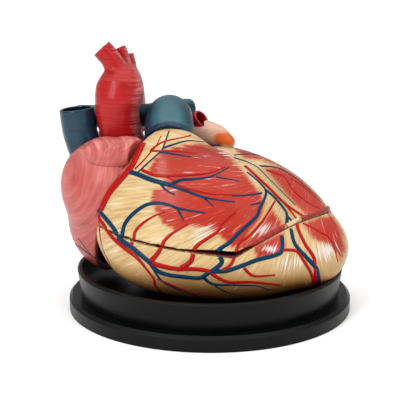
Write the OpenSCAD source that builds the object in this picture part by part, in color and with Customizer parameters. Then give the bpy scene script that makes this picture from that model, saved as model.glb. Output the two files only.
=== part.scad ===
// Enlarged teaching model of the human heart on a round stand. It comes apart in three
// sections: the ventricles fixed to the stand, the front wall of the ventricles, which
// pulls off forwards, and the two atria with the great vessels, which lift off upwards.
//
// Frame in millimetres: X to the viewer's right, Y away from the viewer, Z up. The origin
// is the centre of the ring that the stand rests on.

/* [Stand] */
// Outer radius of the stand's foot
foot_r = 130; // [126:1:150]
// Height of the foot
foot_h = 13.6; // [10:0.2:18]
// Radius of the groove between foot and wall
groove_r = 118.5; // [116:0.5:120]
// Outer radius of the stand's rim
rim_r = 122; // [121:0.5:125]
// Height of the stand's rim
stand_h = 39; // [34:1:39]
// Thickness of the stand's mouldings
stand_wall = 3.2; // [2:0.2:4]
// Height of the floor of the dish, on its upper side
dish_z = 26; // [22:1:28]
// Height of the seat that carries the heart
seat_z = 31; // [29:0.5:33]
// Number of ribs under the dish
rib_count = 12; // [6:1:18]

/* [Fasteners] */
// Radius of the circle of screws that hold the heart to the stand
screw_circle_r = 26; // [22:1:28]
// Number of those screws
screw_count = 3; // [3:1:4]
// Thread radius of the screws
screw_r = 2.5; // [2:0.1:3]
// Radius of the screw heads
screw_head_r = 4.6; // [4:0.1:6]
// Outer radius of the threaded inserts
insert_r = 4; // [3.6:0.1:5]
// Length of the threaded inserts
insert_l = 9; // [7:0.5:10]
// Radius of the locating pegs
peg_r = 3; // [2.5:0.1:3.4]
// Length of a peg's grip inside its sleeve
peg_grip = 8; // [5:0.5:10]
// Running clearance of a peg in its sleeve
peg_gap = 0.08; // [0.04:0.01:0.1]
// Wall of the peg sleeves
sleeve_wall = 1.5; // [1:0.1:2]
// Radius of the disc magnets
magnet_r = 2.5; // [2:0.1:2.6]
// Thickness of the disc magnets
magnet_t = 2; // [1.5:0.1:3]

/* [Heart walls] */
// Wall of the right ventricle
right_wall = 9; // [7:0.5:10]
// Wall of the left ventricle
left_wall = 15; // [12:0.5:17]
// Thickness of the floor of the chambers over the seat
floor_t = 12; // [11:0.5:14]
// Wall of the atria and auricles
atrium_wall = 4.5; // [3.5:0.5:6]
// Gap along the parting line between the two halves of the ventricles
seam_gap = 0.7; // [0.4:0.1:1]
// Gap between the valve plate and its neighbours
plate_gap = 0.3; // [0.2:0.05:0.5]
// Thickness of the valve plate
plate_t = 5; // [4:0.5:7]

/* [Valves] */
// Radius of the opening of the tricuspid valve
tricuspid_r = 24; // [20:0.5:24]
// Radius of the opening of the mitral valve
mitral_r = 19; // [17:0.5:20]
// Radius of the opening of the aortic valve
aortic_r = 14; // [12:0.5:14.5]
// Width of the collar of a valve on the plate
collar_w = 1.6; // [1:0.1:2]
// Reach of the leaflets into the ventricle
leaflet_l = 15; // [10:0.5:17]
// Thickness of the valve leaflets
leaflet_t = 1.2; // [0.8:0.1:1.6]
// Radius of a tendinous cord
cord_r = 0.8; // [0.6:0.1:1.1]

/* [Great vessels] */
// Wall of the great vessels
vessel_wall = 2.4; // [1.6:0.2:3]
// Radius of the ascending aorta
aorta_r = 20; // [18:0.5:20.5]
// Radius of the aorta where it swells below its branches
aorta_bulge_r = 22.5; // [21:0.5:24]
// Radius of the first branch of the arch
branch_r = 9.5; // [8:0.5:10]
// Radius of the pulmonary trunk
trunk_r = 23.5; // [21:0.5:24]
// Radius of the superior vena cava
svc_r = 16; // [14:0.5:16.5]
// Radius of the inferior vena cava
ivc_r = 14; // [12:0.5:14.5]
// Radius of the pulmonary veins
vein_r = 8.5; // [7:0.5:9]

/* [Hidden] */

muscle_red = "#c23b2c";
fat_yellow = "#dcbf82";
atrium_pink = "#cf7570";
auricle_peach = "#e9a883";
artery_red = "#bd1d1c";
vein_blue = "#1f4f68";
valve_cream = "#e9dcc3";
stand_black = "#1b1d1d";
steel_grey = "#b9bcbe";
brass_gold = "#b8963f";

far = 400; // longer than the whole model
cut = 1;   // how far a cutting tool runs past the face that it opens

// ---- small helpers -------------------------------------------------------------------
function unit(v) = v / norm(v);
function total(v) = [for (x = v) 1] * v;
function soft_min(d, k) = -k * ln(total([for (x = d) exp(-x / k)]));
function soft_max(d, k) = -soft_min([for (x = d) -x], k);

// Stands what follows on the point p with its Z axis along d
module stand_on(p, d) {
    u = unit(d);
    translate(p) rotate([0, acos(u.z), atan2(u.y, u.x)]) children();
}
module above(z) {
    translate([-far / 2, -far / 2, z]) cube(far);
}
// A hole whose flats, not its corners, lie at the radius r, so a round piece just fits
module snug_hole(r, h, n = 24) {
    cylinder(r = r / cos(180 / n), h = h, $fn = n);
}

// ---- lobes: the soft forms are swollen ellipsoids that melt together ------------------
// A lobe is [centre, radii, yaw, pitch]; its value at p is negative inside, and near its
// surface it is about the distance in mm.
function lobe_value(p, lobe) =
    let (
        v = p - lobe[0], r = lobe[1], a = lobe[2], b = lobe[3],
        long = [cos(a) * cos(b), sin(a) * cos(b), sin(b)],
        side = [-sin(a), cos(a), 0],
        up = cross(long, side),
        q = [v * long / r.x, v * side / r.y, v * up / r.z],
        k0 = max(norm(q), 0.001),
        k1 = max(norm([q.x / r.x, q.y / r.y, q.z / r.z]), 0.0001)
    ) k0 * (k0 - 1) / k1;
function lobes_value(p, lobes, k) = soft_min([for (l = lobes) lobe_value(p, l)], k);

// Distance from c along d to the surface of the form f, found by halving
function reach(f, c, d, near = 0, limit = 190, n = 13) =
    let (m = (near + limit) / 2)
    n == 0 ? m : f(c + m * d) < 0 ? reach(f, c, d, m, limit, n - 1) : reach(f, c, d, near, m, n - 1);

function heading(az, el) = [cos(az) * cos(el), sin(az) * cos(el), sin(el)];

// Faces of a stack of m rings of n points, closed by a point below (index 0) and one above
function stack_faces(n, m) = let (top = n * m + 1) [
    for (i = [0:n - 1]) let (i2 = (i + 1) % n) each [
        [0, 1 + i, 1 + i2],
        [top, 1 + (m - 1) * n + i2, 1 + (m - 1) * n + i],
        for (j = [0:m - 2]) let (a = 1 + j * n + i, b = 1 + j * n + i2) each [
            [a, a + n, b + n],
            [a, b + n, b]
        ]
    ]
];

// A closed form that can be seen all round from the point c inside it
module blob(f, c, n, m) {
    rings = [for (j = [1:m], i = [0:n - 1]) let (d = heading(360 * i / n, -90 + 180 * j / (m + 1)))
        c + d * reach(f, c, d)];
    bottom = c - [0, 0, reach(f, c, [0, 0, -1])];
    top = c + [0, 0, reach(f, c, [0, 0, 1])];
    polyhedron([bottom, each rings, top], stack_faces(n, m), convexity = 6);
}

// ---- vessels follow a smooth path through a few named stations -------------------------
// A station is [point, radius]
function catmull(a, b, c, d, t) =
    0.5 * (2 * b + (c - a) * t + (2 * a - 5 * b + 4 * c - d) * t * t + (3 * b - a - 3 * c + d) * t * t * t);
function smooth_path(s, steps) = let (n = len(s)) [
    for (i = [0:n - 2], k = [0:steps - 1])
        catmull(s[max(i - 1, 0)], s[i], s[i + 1], s[min(i + 2, n - 1)], k / steps),
    s[n - 1]
];
// A frame carried along the path without twist: each entry is [point, side, up]
function carry(points, i, side, done) =
    i == len(points) ? done :
    let (
        a = points[max(i - 1, 0)], b = points[min(i + 1, len(points) - 1)],
        along = unit(b - a),
        s = unit(side - (side * along) * along)
    ) carry(points, i + 1, s, concat(done, [[points[i], s, cross(along, s)]]));
// Every other ring is turned by half a side, so that no two faces of a tube lie in one plane
function ring(frames, i, r, n) = [for (k = [0:n - 1]) let (a = 360 * (k + (i % 2) / 2) / n)
    frames[i][0] + r * (cos(a) * frames[i][1] + sin(a) * frames[i][2])];

// A solid run of links; each link is convex, so that neighbours meet without folds, and has
// ends crowned by end_crown times its radius, which keeps its faces from lying flat together
end_crown = 0.03;
module vessel(stations, steps, n, grow = 0) {
    points = smooth_path([for (s = stations) s[0]], steps);
    radii = smooth_path([for (s = stations) s[1]], steps);
    frames = carry(points, 0, [0.1, 1, 0.2], []);
    for (i = [0:len(points) - 2]) {
        crown = end_crown * unit(points[i + 1] - points[i]);
        hull() polyhedron(
            concat(
                ring(frames, i, radii[i] + grow, n), ring(frames, i + 1, radii[i + 1] + grow, n),
                [points[i] - crown * (radii[i] + grow), points[i + 1] + crown * (radii[i + 1] + grow)]),
            [for (k = [0:n - 1]) let (k2 = (k + 1) % n) each
                [[k, k2, 2 * n], [n + k2, n + k, 2 * n + 1], [k, n + k, n + k2], [k, n + k2, k2]]]);
    }
}
// The same stations with both ends drawn out past their mouths, for a bore that opens them
function past(s, from, by) = [s[0] + unit(s[0] - from[0]) * by, s[1]];
function drawn_out(s, by) = let (n = len(s)) [
    past(s[0], s[1], by), for (i = [1:n - 2]) s[i], past(s[n - 1], s[n - 2], by)];

// ---- where the sections meet -------------------------------------------------------------
// The base of the ventricles, where the atria join: a point, and its side to the ventricles
base_point = [-98, -45, 93];
base_dir = unit([0.693, -0.623, -0.362]);
base_side = unit([-base_dir.y, base_dir.x, 0]);
base_up = cross(base_dir, base_side);
function base_at(u, v, w = 0) = base_point + base_side * u + base_up * v + base_dir * w;
// Stands what follows on the base: its Z axis points into the ventricles
module on_base(uv, w = 0) {
    stand_on(base_at(uv.x, uv.y, w), base_dir) children();
}
// Everything on one side of the base: +1 where the ventricles are, -1 where the atria are
module base_half(side, w) {
    on_base([0, 0], w) translate([-far / 2, -far / 2, side > 0 ? 0 : -far]) cube(far);
}
plate_back = -plate_gap - plate_t;
atria_face = plate_back - plate_gap;
// The wall between the atria, along base_side
septum_u = 66;

tricuspid_uv = [37, -8];
mitral_uv = [102, 16];
aortic_uv = [66, 23];

// Where the pulmonary trunk stands on the right ventricle, and the way that it leaves
trunk_root = [-36, -21, 152];
trunk_dir = unit([0, 0.85, 0.5]);
trunk_gap = 0.6;

// The front wall pulls off along cover_dir, and the crown lifts off along crown_dir
cover_dir = unit([0.25, -0.7, 0.67]);
crown_dir = unit([-0.12, 0.25, 0.96]);

// ---- the ventricles --------------------------------------------------------------------
right_lobes = [
    [[-12, -30, 92], [84, 56, 60], -8, -8],
    [[-34, -28, 133], [36, 36, 37], 0, 0],
    [[-52, -18, 84], [52, 50, 52], 0, 0],
    [[22, -36, 62], [86, 60, 42], 0, 0],
    [[-28, -42, 66], [64, 50, 40], 0, 0]
];
left_lobes = [
    [[32, 9, 93], [84, 56, 46], -14, -20],
    [[82, -28, 62], [42, 46, 36], 0, 0],
    [[36, 6, 64], [78, 54, 38], 0, 0]
];
function right_value(p) = lobes_value(p, right_lobes, 5);
function left_value(p) = lobes_value(p, left_lobes, 5);
function ventricle_value(p) = soft_min([right_value(p), left_value(p)], 3);
// Room for the pulmonary trunk, which stands on a flat on the right ventricle
trunk_seat_w = trunk_r + 3;
module trunk_room(deep = 0) {
    stand_on(trunk_root, trunk_dir) translate([trunk_seat_w + deep - far, -trunk_seat_w, 0])
        cube([far, 3 * trunk_seat_w, far]);
}

// The parting line rises from a crease at the front, and climbs high over the back, so that
// the valves and their cords stay with the lower half; both halves are seen whole from here
crease = [20, -20, 71];
seam_back = 60; // how steeply it climbs at the back
seam_left = -0.125;
seam_right = 0.248;
seam_roll = 0.0038; // how fast the rise on the right falls off towards the back, per degree
notch_el = 3.2;     // the front wall stands a little open over the crease
function seam_slope(az) = cos(az) * (cos(az) < 0 ? seam_left : seam_right - seam_roll * az);
function notch(az) = notch_el * exp(-pow((az + 92) / (az < -92 ? 20 : 9), 2));
function smooth_step(t) = let (x = max(0, min(1, t))) x * x * (3 - 2 * x);
// Where the parting line leaves its front course for the climb over the back
function hump(az) = smooth_step((az - 20) / 55) * smooth_step((178 - az) / 24);
function seam_rest(az) = atan(seam_slope(az)) * (1 - hump(az)) + seam_back * hump(az);
function seam_el(az, side) = seam_rest(az) + (side > 0 ? notch(az) : 0);
function from_seam(az, t, side) = heading(az, seam_el(az, side) * (1 - t) + side * 90 * t);
// A point on the parting line's face, inset from the outside
function seam_point(az, inset) = let (d = heading(az, seam_rest(az)))
    crease + d * (reach(function (p) ventricle_value(p), crease, d) - inset);

// The part of the ventricles on one side of the parting line: +1 above, -1 below
ring_n = 40;
module ventricle_half(side, m) {
    c = crease + (side > 0 ? seam_gap : 0) * cover_dir;
    rings = [for (j = [0:m - 1], i = [0:ring_n - 1])
        let (d = from_seam(360 * i / ring_n - 180, j / m, side)) c + d * reach(function (p) ventricle_value(p), c, d)];
    tip = c + [0, 0, side] * reach(function (p) ventricle_value(p), c, [0, 0, side]);
    faces = stack_faces(ring_n, m);
    difference() {
        intersection() {
            polyhedron([c, each rings, tip], side > 0 ? faces : [for (f = faces) [f[0], f[2], f[1]]], convexity = 6);
            base_half(1, 0);
        }
        trunk_room(side > 0 ? 30 : 0); // nothing of the front wall stays under the trunk
    }
}

// Muscle ridges on the inside of a chamber, between pairs of headings from its middle
ridge_r = 3;
module ridges(f, c, headings) {
    for (h = headings) hull() for (d = [heading(h[0], h[1]), heading(h[2], h[3])])
        translate(c + d * (reach(f, c, d) + 0.5)) sphere(r = ridge_r, $fn = 6);
}

// Bosses left standing in the chambers round the pegs that locate the front wall
// Each peg is [azimuth, inset, where its sleeve's whole ring is clear of the parting line]
seam_peg_list = [[-158, 19, 6], [8, 22, 10]];
boss_r = 8;
sleeve_r = peg_r + peg_gap + sleeve_wall;
module each_seam_peg() {
    for (g = seam_peg_list) {
        $sleeve_start = g[2];
        $sleeve_end = g[2] + peg_grip + cut;
        stand_on(seam_point(g[0], g[1]), cover_dir) children();
    }
}
module seam_bosses() {
    each_seam_peg() translate([0, 0, -peg_root - 3])
        cylinder(r = boss_r, h = peg_root + $sleeve_end + 6, $fn = 16);
}

// The two chambers; the septum is what is left between them
right_middle = [-20, -34, 84];
left_middle = [48, -2, 84];
function right_room(p) = lobes_value(p, right_lobes, 5) + right_wall;
function left_room(p) = left_value(p) + left_wall;
module right_chamber() {
    intersection() {
        above(seat_z + floor_t);
        difference() {
            blob(function (p) right_room(p), right_middle, 20, 9);
            blob(function (p) left_value(p), left_lobes[0][0], 20, 9);
            seam_bosses();
            ridges(function (p) right_room(p), right_middle, [
                [-150, -28, -125, 22], [-118, -32, -105, 10], [-92, -36, -80, 8], [-66, -34, -60, 6],
                [-140, 40, -100, 52], [-96, 30, -70, 50], [-62, 22, -48, 42], [-165, 5, -160, 45]
            ]);
        }
    }
}
module left_chamber() {
    intersection() {
        above(seat_z + floor_t);
        difference() {
            blob(function (p) left_room(p), left_middle, 20, 9);
            seam_bosses();
            ridges(function (p) left_room(p), left_middle, [
                [-60, -20, -50, 30], [-30, -30, -28, 25], [0, -30, -2, 28], [35, -25, 30, 30], [75, -25, 70, 35]
            ]);
        }
    }
}

// Room for a valve's leaflets, and for the way that they take as the front wall comes off
module valve_room(uv, r, way = 0) {
    hull() for (d = [0, way]) translate(-d * cover_dir) on_base(uv, -cut)
        cylinder(r1 = r + 1, r2 = r * 0.55 + 1, h = leaflet_l + 20, $fn = 20);
}

module ventricle_body() {
    color(fat_yellow) difference() {
        intersection() {
            ventricle_half(-1, 10);
            above(seat_z);
        }
        right_chamber();
        left_chamber();
        valve_room(tricuspid_uv, tricuspid_r);
        valve_room(mitral_uv, mitral_r);
        seam_peg_holes();
        seam_magnet_holes(-1);
        each_screw() translate([0, 0, seat_z - cut]) snug_hole(insert_r, insert_l + cut);
    }
}

module front_cover() {
    color(muscle_red) difference() {
        ventricle_half(1, 9);
        right_chamber();
        left_chamber();
        valve_room(tricuspid_uv, tricuspid_r, 25);
        valve_room(mitral_uv, mitral_r, 25);
        seam_magnet_holes(1);
        each_seam_peg() {
            translate([0, 0, -peg_root]) cylinder(r = peg_r + 0.8, h = peg_root + $sleeve_end, $fn = 20);
            translate([0, 0, $sleeve_start]) snug_hole(sleeve_r, peg_grip);
        }
    }
}

// ---- pegs, sleeves and magnets along the parting line ---------------------------------
peg_root = 12; // how deep a peg is set
module seam_peg_holes() {
    each_seam_peg() translate([0, 0, -peg_root]) snug_hole(peg_r, 2 * peg_root + $sleeve_end);
}
module seam_pegs() {
    color(steel_grey) each_seam_peg() {
        translate([0, 0, -peg_root]) cylinder(r = peg_r, h = peg_root + $sleeve_end - 2, $fn = 32);
        translate([0, 0, $sleeve_end - 2]) cylinder(r1 = peg_r, r2 = peg_r - 1, h = 1, $fn = 32);
    }
}
module cover_sleeves() {
    color(brass_gold) each_seam_peg() translate([0, 0, $sleeve_start]) difference() {
        cylinder(r = sleeve_r, h = peg_grip, $fn = 32);
        translate([0, 0, -cut]) cylinder(r = peg_r + peg_gap, h = peg_grip + 2 * cut, $fn = 32);
    }
}
magnet_azimuths = [-135, -70, -20];
magnet_inset = 6.4;
magnet_back = 1; // how far a magnet lies back from the parting face
module each_magnet(side) {
    for (az = magnet_azimuths) translate(seam_point(az, magnet_inset))
        mirror([0, 0, side > 0 ? 0 : 1]) translate([0, 0, magnet_back + (side > 0 ? seam_gap : 0)]) children();
}
module seam_magnet_holes(side) {
    each_magnet(side) translate([0, 0, -3]) snug_hole(magnet_r, magnet_t + 3);
}
module seam_magnets() {
    color(steel_grey) each_magnet(-1) cylinder(r = magnet_r, h = magnet_t, $fn = 32);
}
module cover_magnets() {
    color(steel_grey) each_magnet(1) cylinder(r = magnet_r, h = magnet_t, $fn = 32);
}

// ---- the valve plate and what hangs from it ----------------------------------------------
plate_mid = [66, 12];
plate_n = 48;
plate_inset = 1.2;
// Outline of the base in the frame that on_base() gives: X down, Y along base_side
plate_outline = [for (i = [0:plate_n - 1]) let (
        a = 360 * i / plate_n,
        c = base_at(plate_mid.x, plate_mid.y, plate_back),
        d = base_side * sin(a) - base_up * cos(a)
    ) (reach(function (p) ventricle_value(p), c, d) - plate_inset) * [cos(a), sin(a)]];

module valve_bore(uv, r) {
    on_base(uv, plate_back - cut) cylinder(r = r, h = plate_t + 2 * cut, $fn = 64);
}
module valve_plate() {
    color(valve_cream) difference() {
        intersection() {
            on_base(plate_mid, plate_back) linear_extrude(plate_t) polygon(plate_outline);
            above(seat_z);
        }
        trunk_room();
        valve_bore(tricuspid_uv, tricuspid_r);
        valve_bore(mitral_uv, mitral_r);
        valve_bore(aortic_uv, aortic_r);
        for (uv = crown_peg_uv) stand_on(base_at(uv.x, uv.y, plate_back), crown_dir)
            translate([0, 0, -3]) cylinder(r = peg_r, h = 3 + far / 8, $fn = 32);
    }
}

// A valve of n leaflets: a collar in the bore, and a funnel slit into leaflets
valve_fit = 0.05;
module leaflet_valve(uv, r, n, turn) {
    color(valve_cream) on_base(uv, plate_back) {
        difference() {
            cylinder(r = r - valve_fit, h = plate_t, $fn = 64);
            translate([0, 0, -cut]) cylinder(r = r - collar_w, h = plate_t + 2 * cut, $fn = 64);
        }
        translate([0, 0, plate_t]) difference() {
            cylinder(r1 = r - valve_fit, r2 = r * 0.62, h = leaflet_l, $fn = 64);
            translate([0, 0, -0.01]) cylinder(r1 = r - collar_w, r2 = r * 0.62 - leaflet_t, h = leaflet_l + 0.02, $fn = 64);
            for (i = [0:n - 1]) rotate(turn + 360 * i / n) translate([r * 0.3, 0, leaflet_l + 2])
                rotate([0, 90, 0]) scale([1.9, 0.55, 1]) cylinder(r = leaflet_l / 2, h = r, $fn = 32);
        }
    }
}
module tricuspid_valve() {
    leaflet_valve(tricuspid_uv, tricuspid_r, 3, 20);
}
module mitral_valve() {
    leaflet_valve(mitral_uv, mitral_r, 2, 70);
}

// Papillary muscles stand on the walls of the chambers; each has a foot and two heads
papillary_r = 6;
head_r = 2.6;
right_papillary = [[[4, -66, 44], [-22, -52, 64]], [[-34, -52, 46], [-42, -40, 62]], [[12, -58, 44], [-14, -48, 66]]];
left_papillary = [[[92, -34, 52], [44, -14, 78]], [[84, -2, 56], [40, 12, 80]]];
head_spread = [0, 4.5, 1.5];
module papillary(m) {
    foot = m[0];
    head = m[1];
    waist = (foot + head) / 2;
    hull() {
        translate(foot) sphere(r = papillary_r + 2, $fn = 8);
        translate(waist) sphere(r = papillary_r * 0.8, $fn = 8);
    }
    for (s = [-1, 1]) hull() {
        translate(waist) sphere(r = papillary_r * 0.8, $fn = 8);
        translate(head + s * head_spread) sphere(r = head_r, $fn = 7);
    }
}
module papillary_muscles() {
    color(muscle_red) intersection() {
        for (m = concat(right_papillary, left_papillary)) papillary(m);
        union() {
            right_chamber();
            left_chamber();
        }
    }
}

// Cords run from each head to the free edge of the leaflets
module cord(a, b) {
    stand_on(a, b - a) cylinder(r = cord_r, h = norm(b - a), $fn = 8);
}
function leaflet_edge(uv, r, a) =
    base_at(uv.x, uv.y, -plate_gap + leaflet_l * 0.55) + (r * 0.76) * (base_side * cos(a) + base_up * sin(a));
module cords_to(muscles, uv, r, fans) {
    for (i = [0:len(muscles) - 1], s = [-1, 1], k = [0:1])
        cord(muscles[i][1] + s * head_spread + k * [2.4 * cord_r, 0, 0], leaflet_edge(uv, r, fans[i] + 22 * s - 14 * k));
}
module tendinous_cords() {
    color(valve_cream) {
        cords_to(right_papillary, tricuspid_uv, tricuspid_r, [-30, -150, 20]);
        cords_to(left_papillary, mitral_uv, mitral_r, [-140, -20]);
    }
}

// ---- the crown: atria and great vessels --------------------------------------------------
crown_peg_uv = [[57, -36], [129, 18]];
crown_sleeve_start = sleeve_r / tan(33) + 0.5;
crown_peg_l = crown_sleeve_start + peg_grip;
module crown_pegs() {
    color(steel_grey) for (uv = crown_peg_uv) stand_on(base_at(uv.x, uv.y, plate_back), crown_dir) {
        translate([0, 0, -3]) cylinder(r = peg_r, h = 3 + crown_peg_l - 1, $fn = 32);
        translate([0, 0, crown_peg_l - 1]) cylinder(r1 = peg_r, r2 = peg_r - 1, h = 1, $fn = 32);
    }
}
module crown_sleeves() {
    color(brass_gold) for (uv = crown_peg_uv) stand_on(base_at(uv.x, uv.y, plate_back), crown_dir)
        translate([0, 0, crown_sleeve_start]) difference() {
            cylinder(r = sleeve_r, h = peg_grip, $fn = 32);
            translate([0, 0, -cut]) cylinder(r = peg_r + peg_gap, h = peg_grip + 2 * cut, $fn = 32);
        }
}
module crown_bosses() {
    for (uv = crown_peg_uv) stand_on(base_at(uv.x, uv.y, plate_back), crown_dir)
        cylinder(r = boss_r, h = crown_peg_l + 4, $fn = 20);
}
module crown_peg_holes() {
    for (uv = crown_peg_uv) stand_on(base_at(uv.x, uv.y, plate_back), crown_dir) {
        translate([0, 0, -boss_r]) cylinder(r = peg_r + 0.8, h = boss_r + crown_peg_l + 2, $fn = 24);
        translate([0, 0, crown_sleeve_start]) snug_hole(sleeve_r, peg_grip);
    }
}

svc = [[[-121.5, 15, 181], svc_r], [[-119, 15, 160], svc_r], [[-113, 14, 140], svc_r], [[-106, 12, 122], svc_r]];
ivc = [[[-97, 20, 73], ivc_r], [[-100, 36, 72], ivc_r], [[-102, 48, 69], ivc_r], [[-103, 58, 66], ivc_r + 0.5]];
aorta_path = [
    [base_at(aortic_uv.x, aortic_uv.y, 2), aortic_r + vessel_wall],
    [base_at(aortic_uv.x, aortic_uv.y, -8), aortic_r + vessel_wall],
    [[-70, 14, 138], 17.5],
    [[-80, 12, 156], aorta_r - 1],
    [[-84, 9, 180], aorta_r],
    [[-81, 10, 198], aorta_bulge_r],
    [[-80, 24, 205], 17.5],
    [[-79, 43, 203], 16],
    [[-77, 60, 193], 15],
    [[-75, 70, 177], 14],
    [[-73, 75, 150], 13.5]
];
arch_branches = [
    [[[-80, 12, 203], 13], [[-84, 14, 216], branch_r + 1], [[-90, 14, 227], branch_r], [[-98, 14, 236], branch_r]],
    [[[-78, 28, 206], 8], [[-78, 29, 219], 6.5], [[-80, 30, 228], 6.2], [[-83, 30, 235], 6.2]],
    [[[-74, 40, 206], 7], [[-73, 42, 217], 5.4], [[-74, 43, 223], 5], [[-75, 43, 228], 4.8]]
];
trunk_path = [
    [trunk_root + trunk_dir * trunk_gap, trunk_r],
    [trunk_root + trunk_dir * 10, trunk_r - 0.8],
    [[-37, 6, 168], trunk_r - 1.5],
    [[-37, 22, 172], 20],
    [[-39, 41, 173], 12]
];
trunk_bore_end = [[-39, 32, 173], 13]; // the trunk is closed behind the place where it forks
trunk_bore = [[trunk_root - trunk_dir, trunk_r], for (i = [1:3]) trunk_path[i], trunk_bore_end];
trunk_lip = [[trunk_root + trunk_dir * (trunk_gap + 0.5), trunk_r + 1.7], [trunk_root + trunk_dir * 2.6, trunk_r + 2],
    [trunk_root + trunk_dir * 5, trunk_r + 0.2]];
pulmonary_branches = [
    [[[-40, 32, 174], 12], [[-35, 46, 175], 10], [[-28, 58, 174], 9.3], [[-19, 67, 173], 9]],
    [[[-34, 34, 172], 12], [[-58, 42, 170], 11], [[-88, 45, 169], 10.5], [[-124, 47, 168], 11]]
];
veins = [
    [[[-38, 46, 134], 10], [[-31, 46, 148], vein_r], [[-19, 43, 158], vein_r], [[-7, 36, 168], vein_r + 0.8]],
    [[[-26, 66, 108], 10], [[-8, 78, 112], vein_r], [[6, 86, 113], vein_r], [[18, 92, 112], vein_r]],
    [[[-58, 56, 124], 10], [[-78, 66, 134], vein_r], [[-94, 70, 140], vein_r], [[-108, 72, 143], vein_r]],
    [[[-56, 60, 104], 10], [[-76, 74, 106], vein_r], [[-90, 80, 107], vein_r], [[-104, 84, 106], vein_r]]
];

right_atrium_lobes = [
    [[-92.5, 0, 112], [46, 41, 45], -42, 0],
    [[-89.5, 5, 75], [48, 33, 45], -42, 0]
];
left_atrium_lobes = [
    [[-46, 48, 108], [42, 38, 38], 0, 0],
    [[-20, 62, 98], [40, 34, 34], 20, 0]
];
right_auricle_lobes = [
    [[-92, -16, 142], [22, 20, 18], -25, 0],
    [[-76, -28, 149], [17, 13, 13], -20, 10],
    [[-66, -33, 153], [8, 8, 8], 0, 0]
];
left_auricle_lobes = [
    [[-9, 39, 155], [24, 12, 12], -12, -8],
    [[8, 36, 150], [9, 8, 8], 0, 0],
    [[17, 32, 146], [6.5, 6, 6], 0, 0]
];
function past_septum(p) = (p - base_point) * base_side - septum_u;

right_atrium_mid = [-94, 4, 94];
left_atrium_mid = [-36, 52, 106];
septum_half = 0.2; // half of the gap between the two atria
nest_gap = 1.2;    // room between the left auricle and the ventricle that it lies on
function right_atrium_value(p) =
    soft_max([lobes_value(p, right_atrium_lobes, 5), past_septum(p) + septum_half], 1.5);
function left_atrium_value(p) =
    soft_max([lobes_value(p, left_atrium_lobes, 6), septum_half - past_septum(p)], 1.5);
function right_atrium_room(p) =
    soft_max([lobes_value(p, right_atrium_lobes, 5), past_septum(p) + septum_half], 2) + atrium_wall;
function left_atrium_room(p) =
    soft_max([lobes_value(p, left_atrium_lobes, 6), septum_half - past_septum(p)], 2) + atrium_wall;

module right_atrium() {
    color(atrium_pink) difference() {
        blob(function (p) right_atrium_value(p), right_atrium_mid, 24, 11);
        difference() {
            blob(function (p) right_atrium_room(p), right_atrium_mid, 16, 7);
            crown_bosses();
            vessel(aorta_path, 1, 14, 3);
        }
        crown_peg_holes();
        vessel(svc, 2, 20, 0.1);
        vessel(ivc, 2, 20, 0.1);
        vessel(aorta_path, 2, 18, 0.3);
        base_half(1, atria_face);
    }
}
module left_atrium() {
    color(atrium_pink) difference() {
        blob(function (p) left_atrium_value(p), left_atrium_mid, 22, 10);
        difference() {
            blob(function (p) left_atrium_room(p), left_atrium_mid, 16, 7);
            crown_bosses();
            vessel(aorta_path, 1, 14, 3);
        }
        crown_peg_holes();
        for (v = veins) vessel(v, 1, 14, 0.1);
        vessel(aorta_path, 2, 18, 0.3);
        base_half(1, atria_face);
    }
}
module right_auricle() {
    color(atrium_pink) difference() {
        blob(function (p) lobes_value(p, right_auricle_lobes, 3), [-82, -22, 146], 18, 9);
        blob(function (p) right_atrium_value(p) - 0.05, right_atrium_mid, 24, 11);
        vessel(aorta_path, 2, 18, 0.3);
        vessel(svc, 2, 20, 0.2);
        base_half(1, atria_face);
    }
}
module left_auricle() {
    color(auricle_peach) difference() {
        blob(function (p) lobes_value(p, left_auricle_lobes, 3), [-4, 38, 155], 20, 9);
        blob(function (p) left_atrium_value(p) - 0.05, left_atrium_mid, 22, 10);
        blob(function (p) ventricle_value(p) - nest_gap, crease, 32, 15);
        vessel(trunk_path, 2, 20, 0.2);
        for (v = veins) vessel(v, 1, 14, 0.1);
    }
}

module superior_vena_cava() {
    color(vein_blue) difference() {
        vessel(svc, 2, 20);
        vessel(drawn_out(svc, cut), 1, 16, -vessel_wall);
    }
}
module inferior_vena_cava() {
    color(vein_blue) difference() {
        vessel(ivc, 2, 20);
        vessel(drawn_out(ivc, cut), 1, 16, -vessel_wall);
    }
}
module pulmonary_veins() {
    color(artery_red) for (v = veins) difference() {
        vessel(v, 1, 14);
        vessel(drawn_out(v, 3 * cut), 1, 11, -vessel_wall * 0.8);
    }
}
module aorta() {
    color(artery_red) difference() {
        union() {
            vessel(aorta_path, 2, 18);
            for (b = arch_branches) vessel(b, 1, 14);
        }
        vessel(drawn_out(aorta_path, cut), 1, 12, -vessel_wall);
        base_half(1, atria_face);
        for (b = arch_branches) vessel(drawn_out(b, 2 * cut), 1, 10, -vessel_wall * 0.75);
    }
}
module pulmonary_trunk() {
    color(vein_blue) difference() {
        union() {
            vessel(trunk_path, 2, 20);
            vessel(trunk_lip, 1, 20);
            for (b = pulmonary_branches) vessel(b, 1, 14);
        }
        vessel(trunk_bore, 1, 14, -vessel_wall);
        for (b = pulmonary_branches) vessel(drawn_out(b, 2 * cut), 1, 10, -vessel_wall * 0.8);
    }
}

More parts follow.
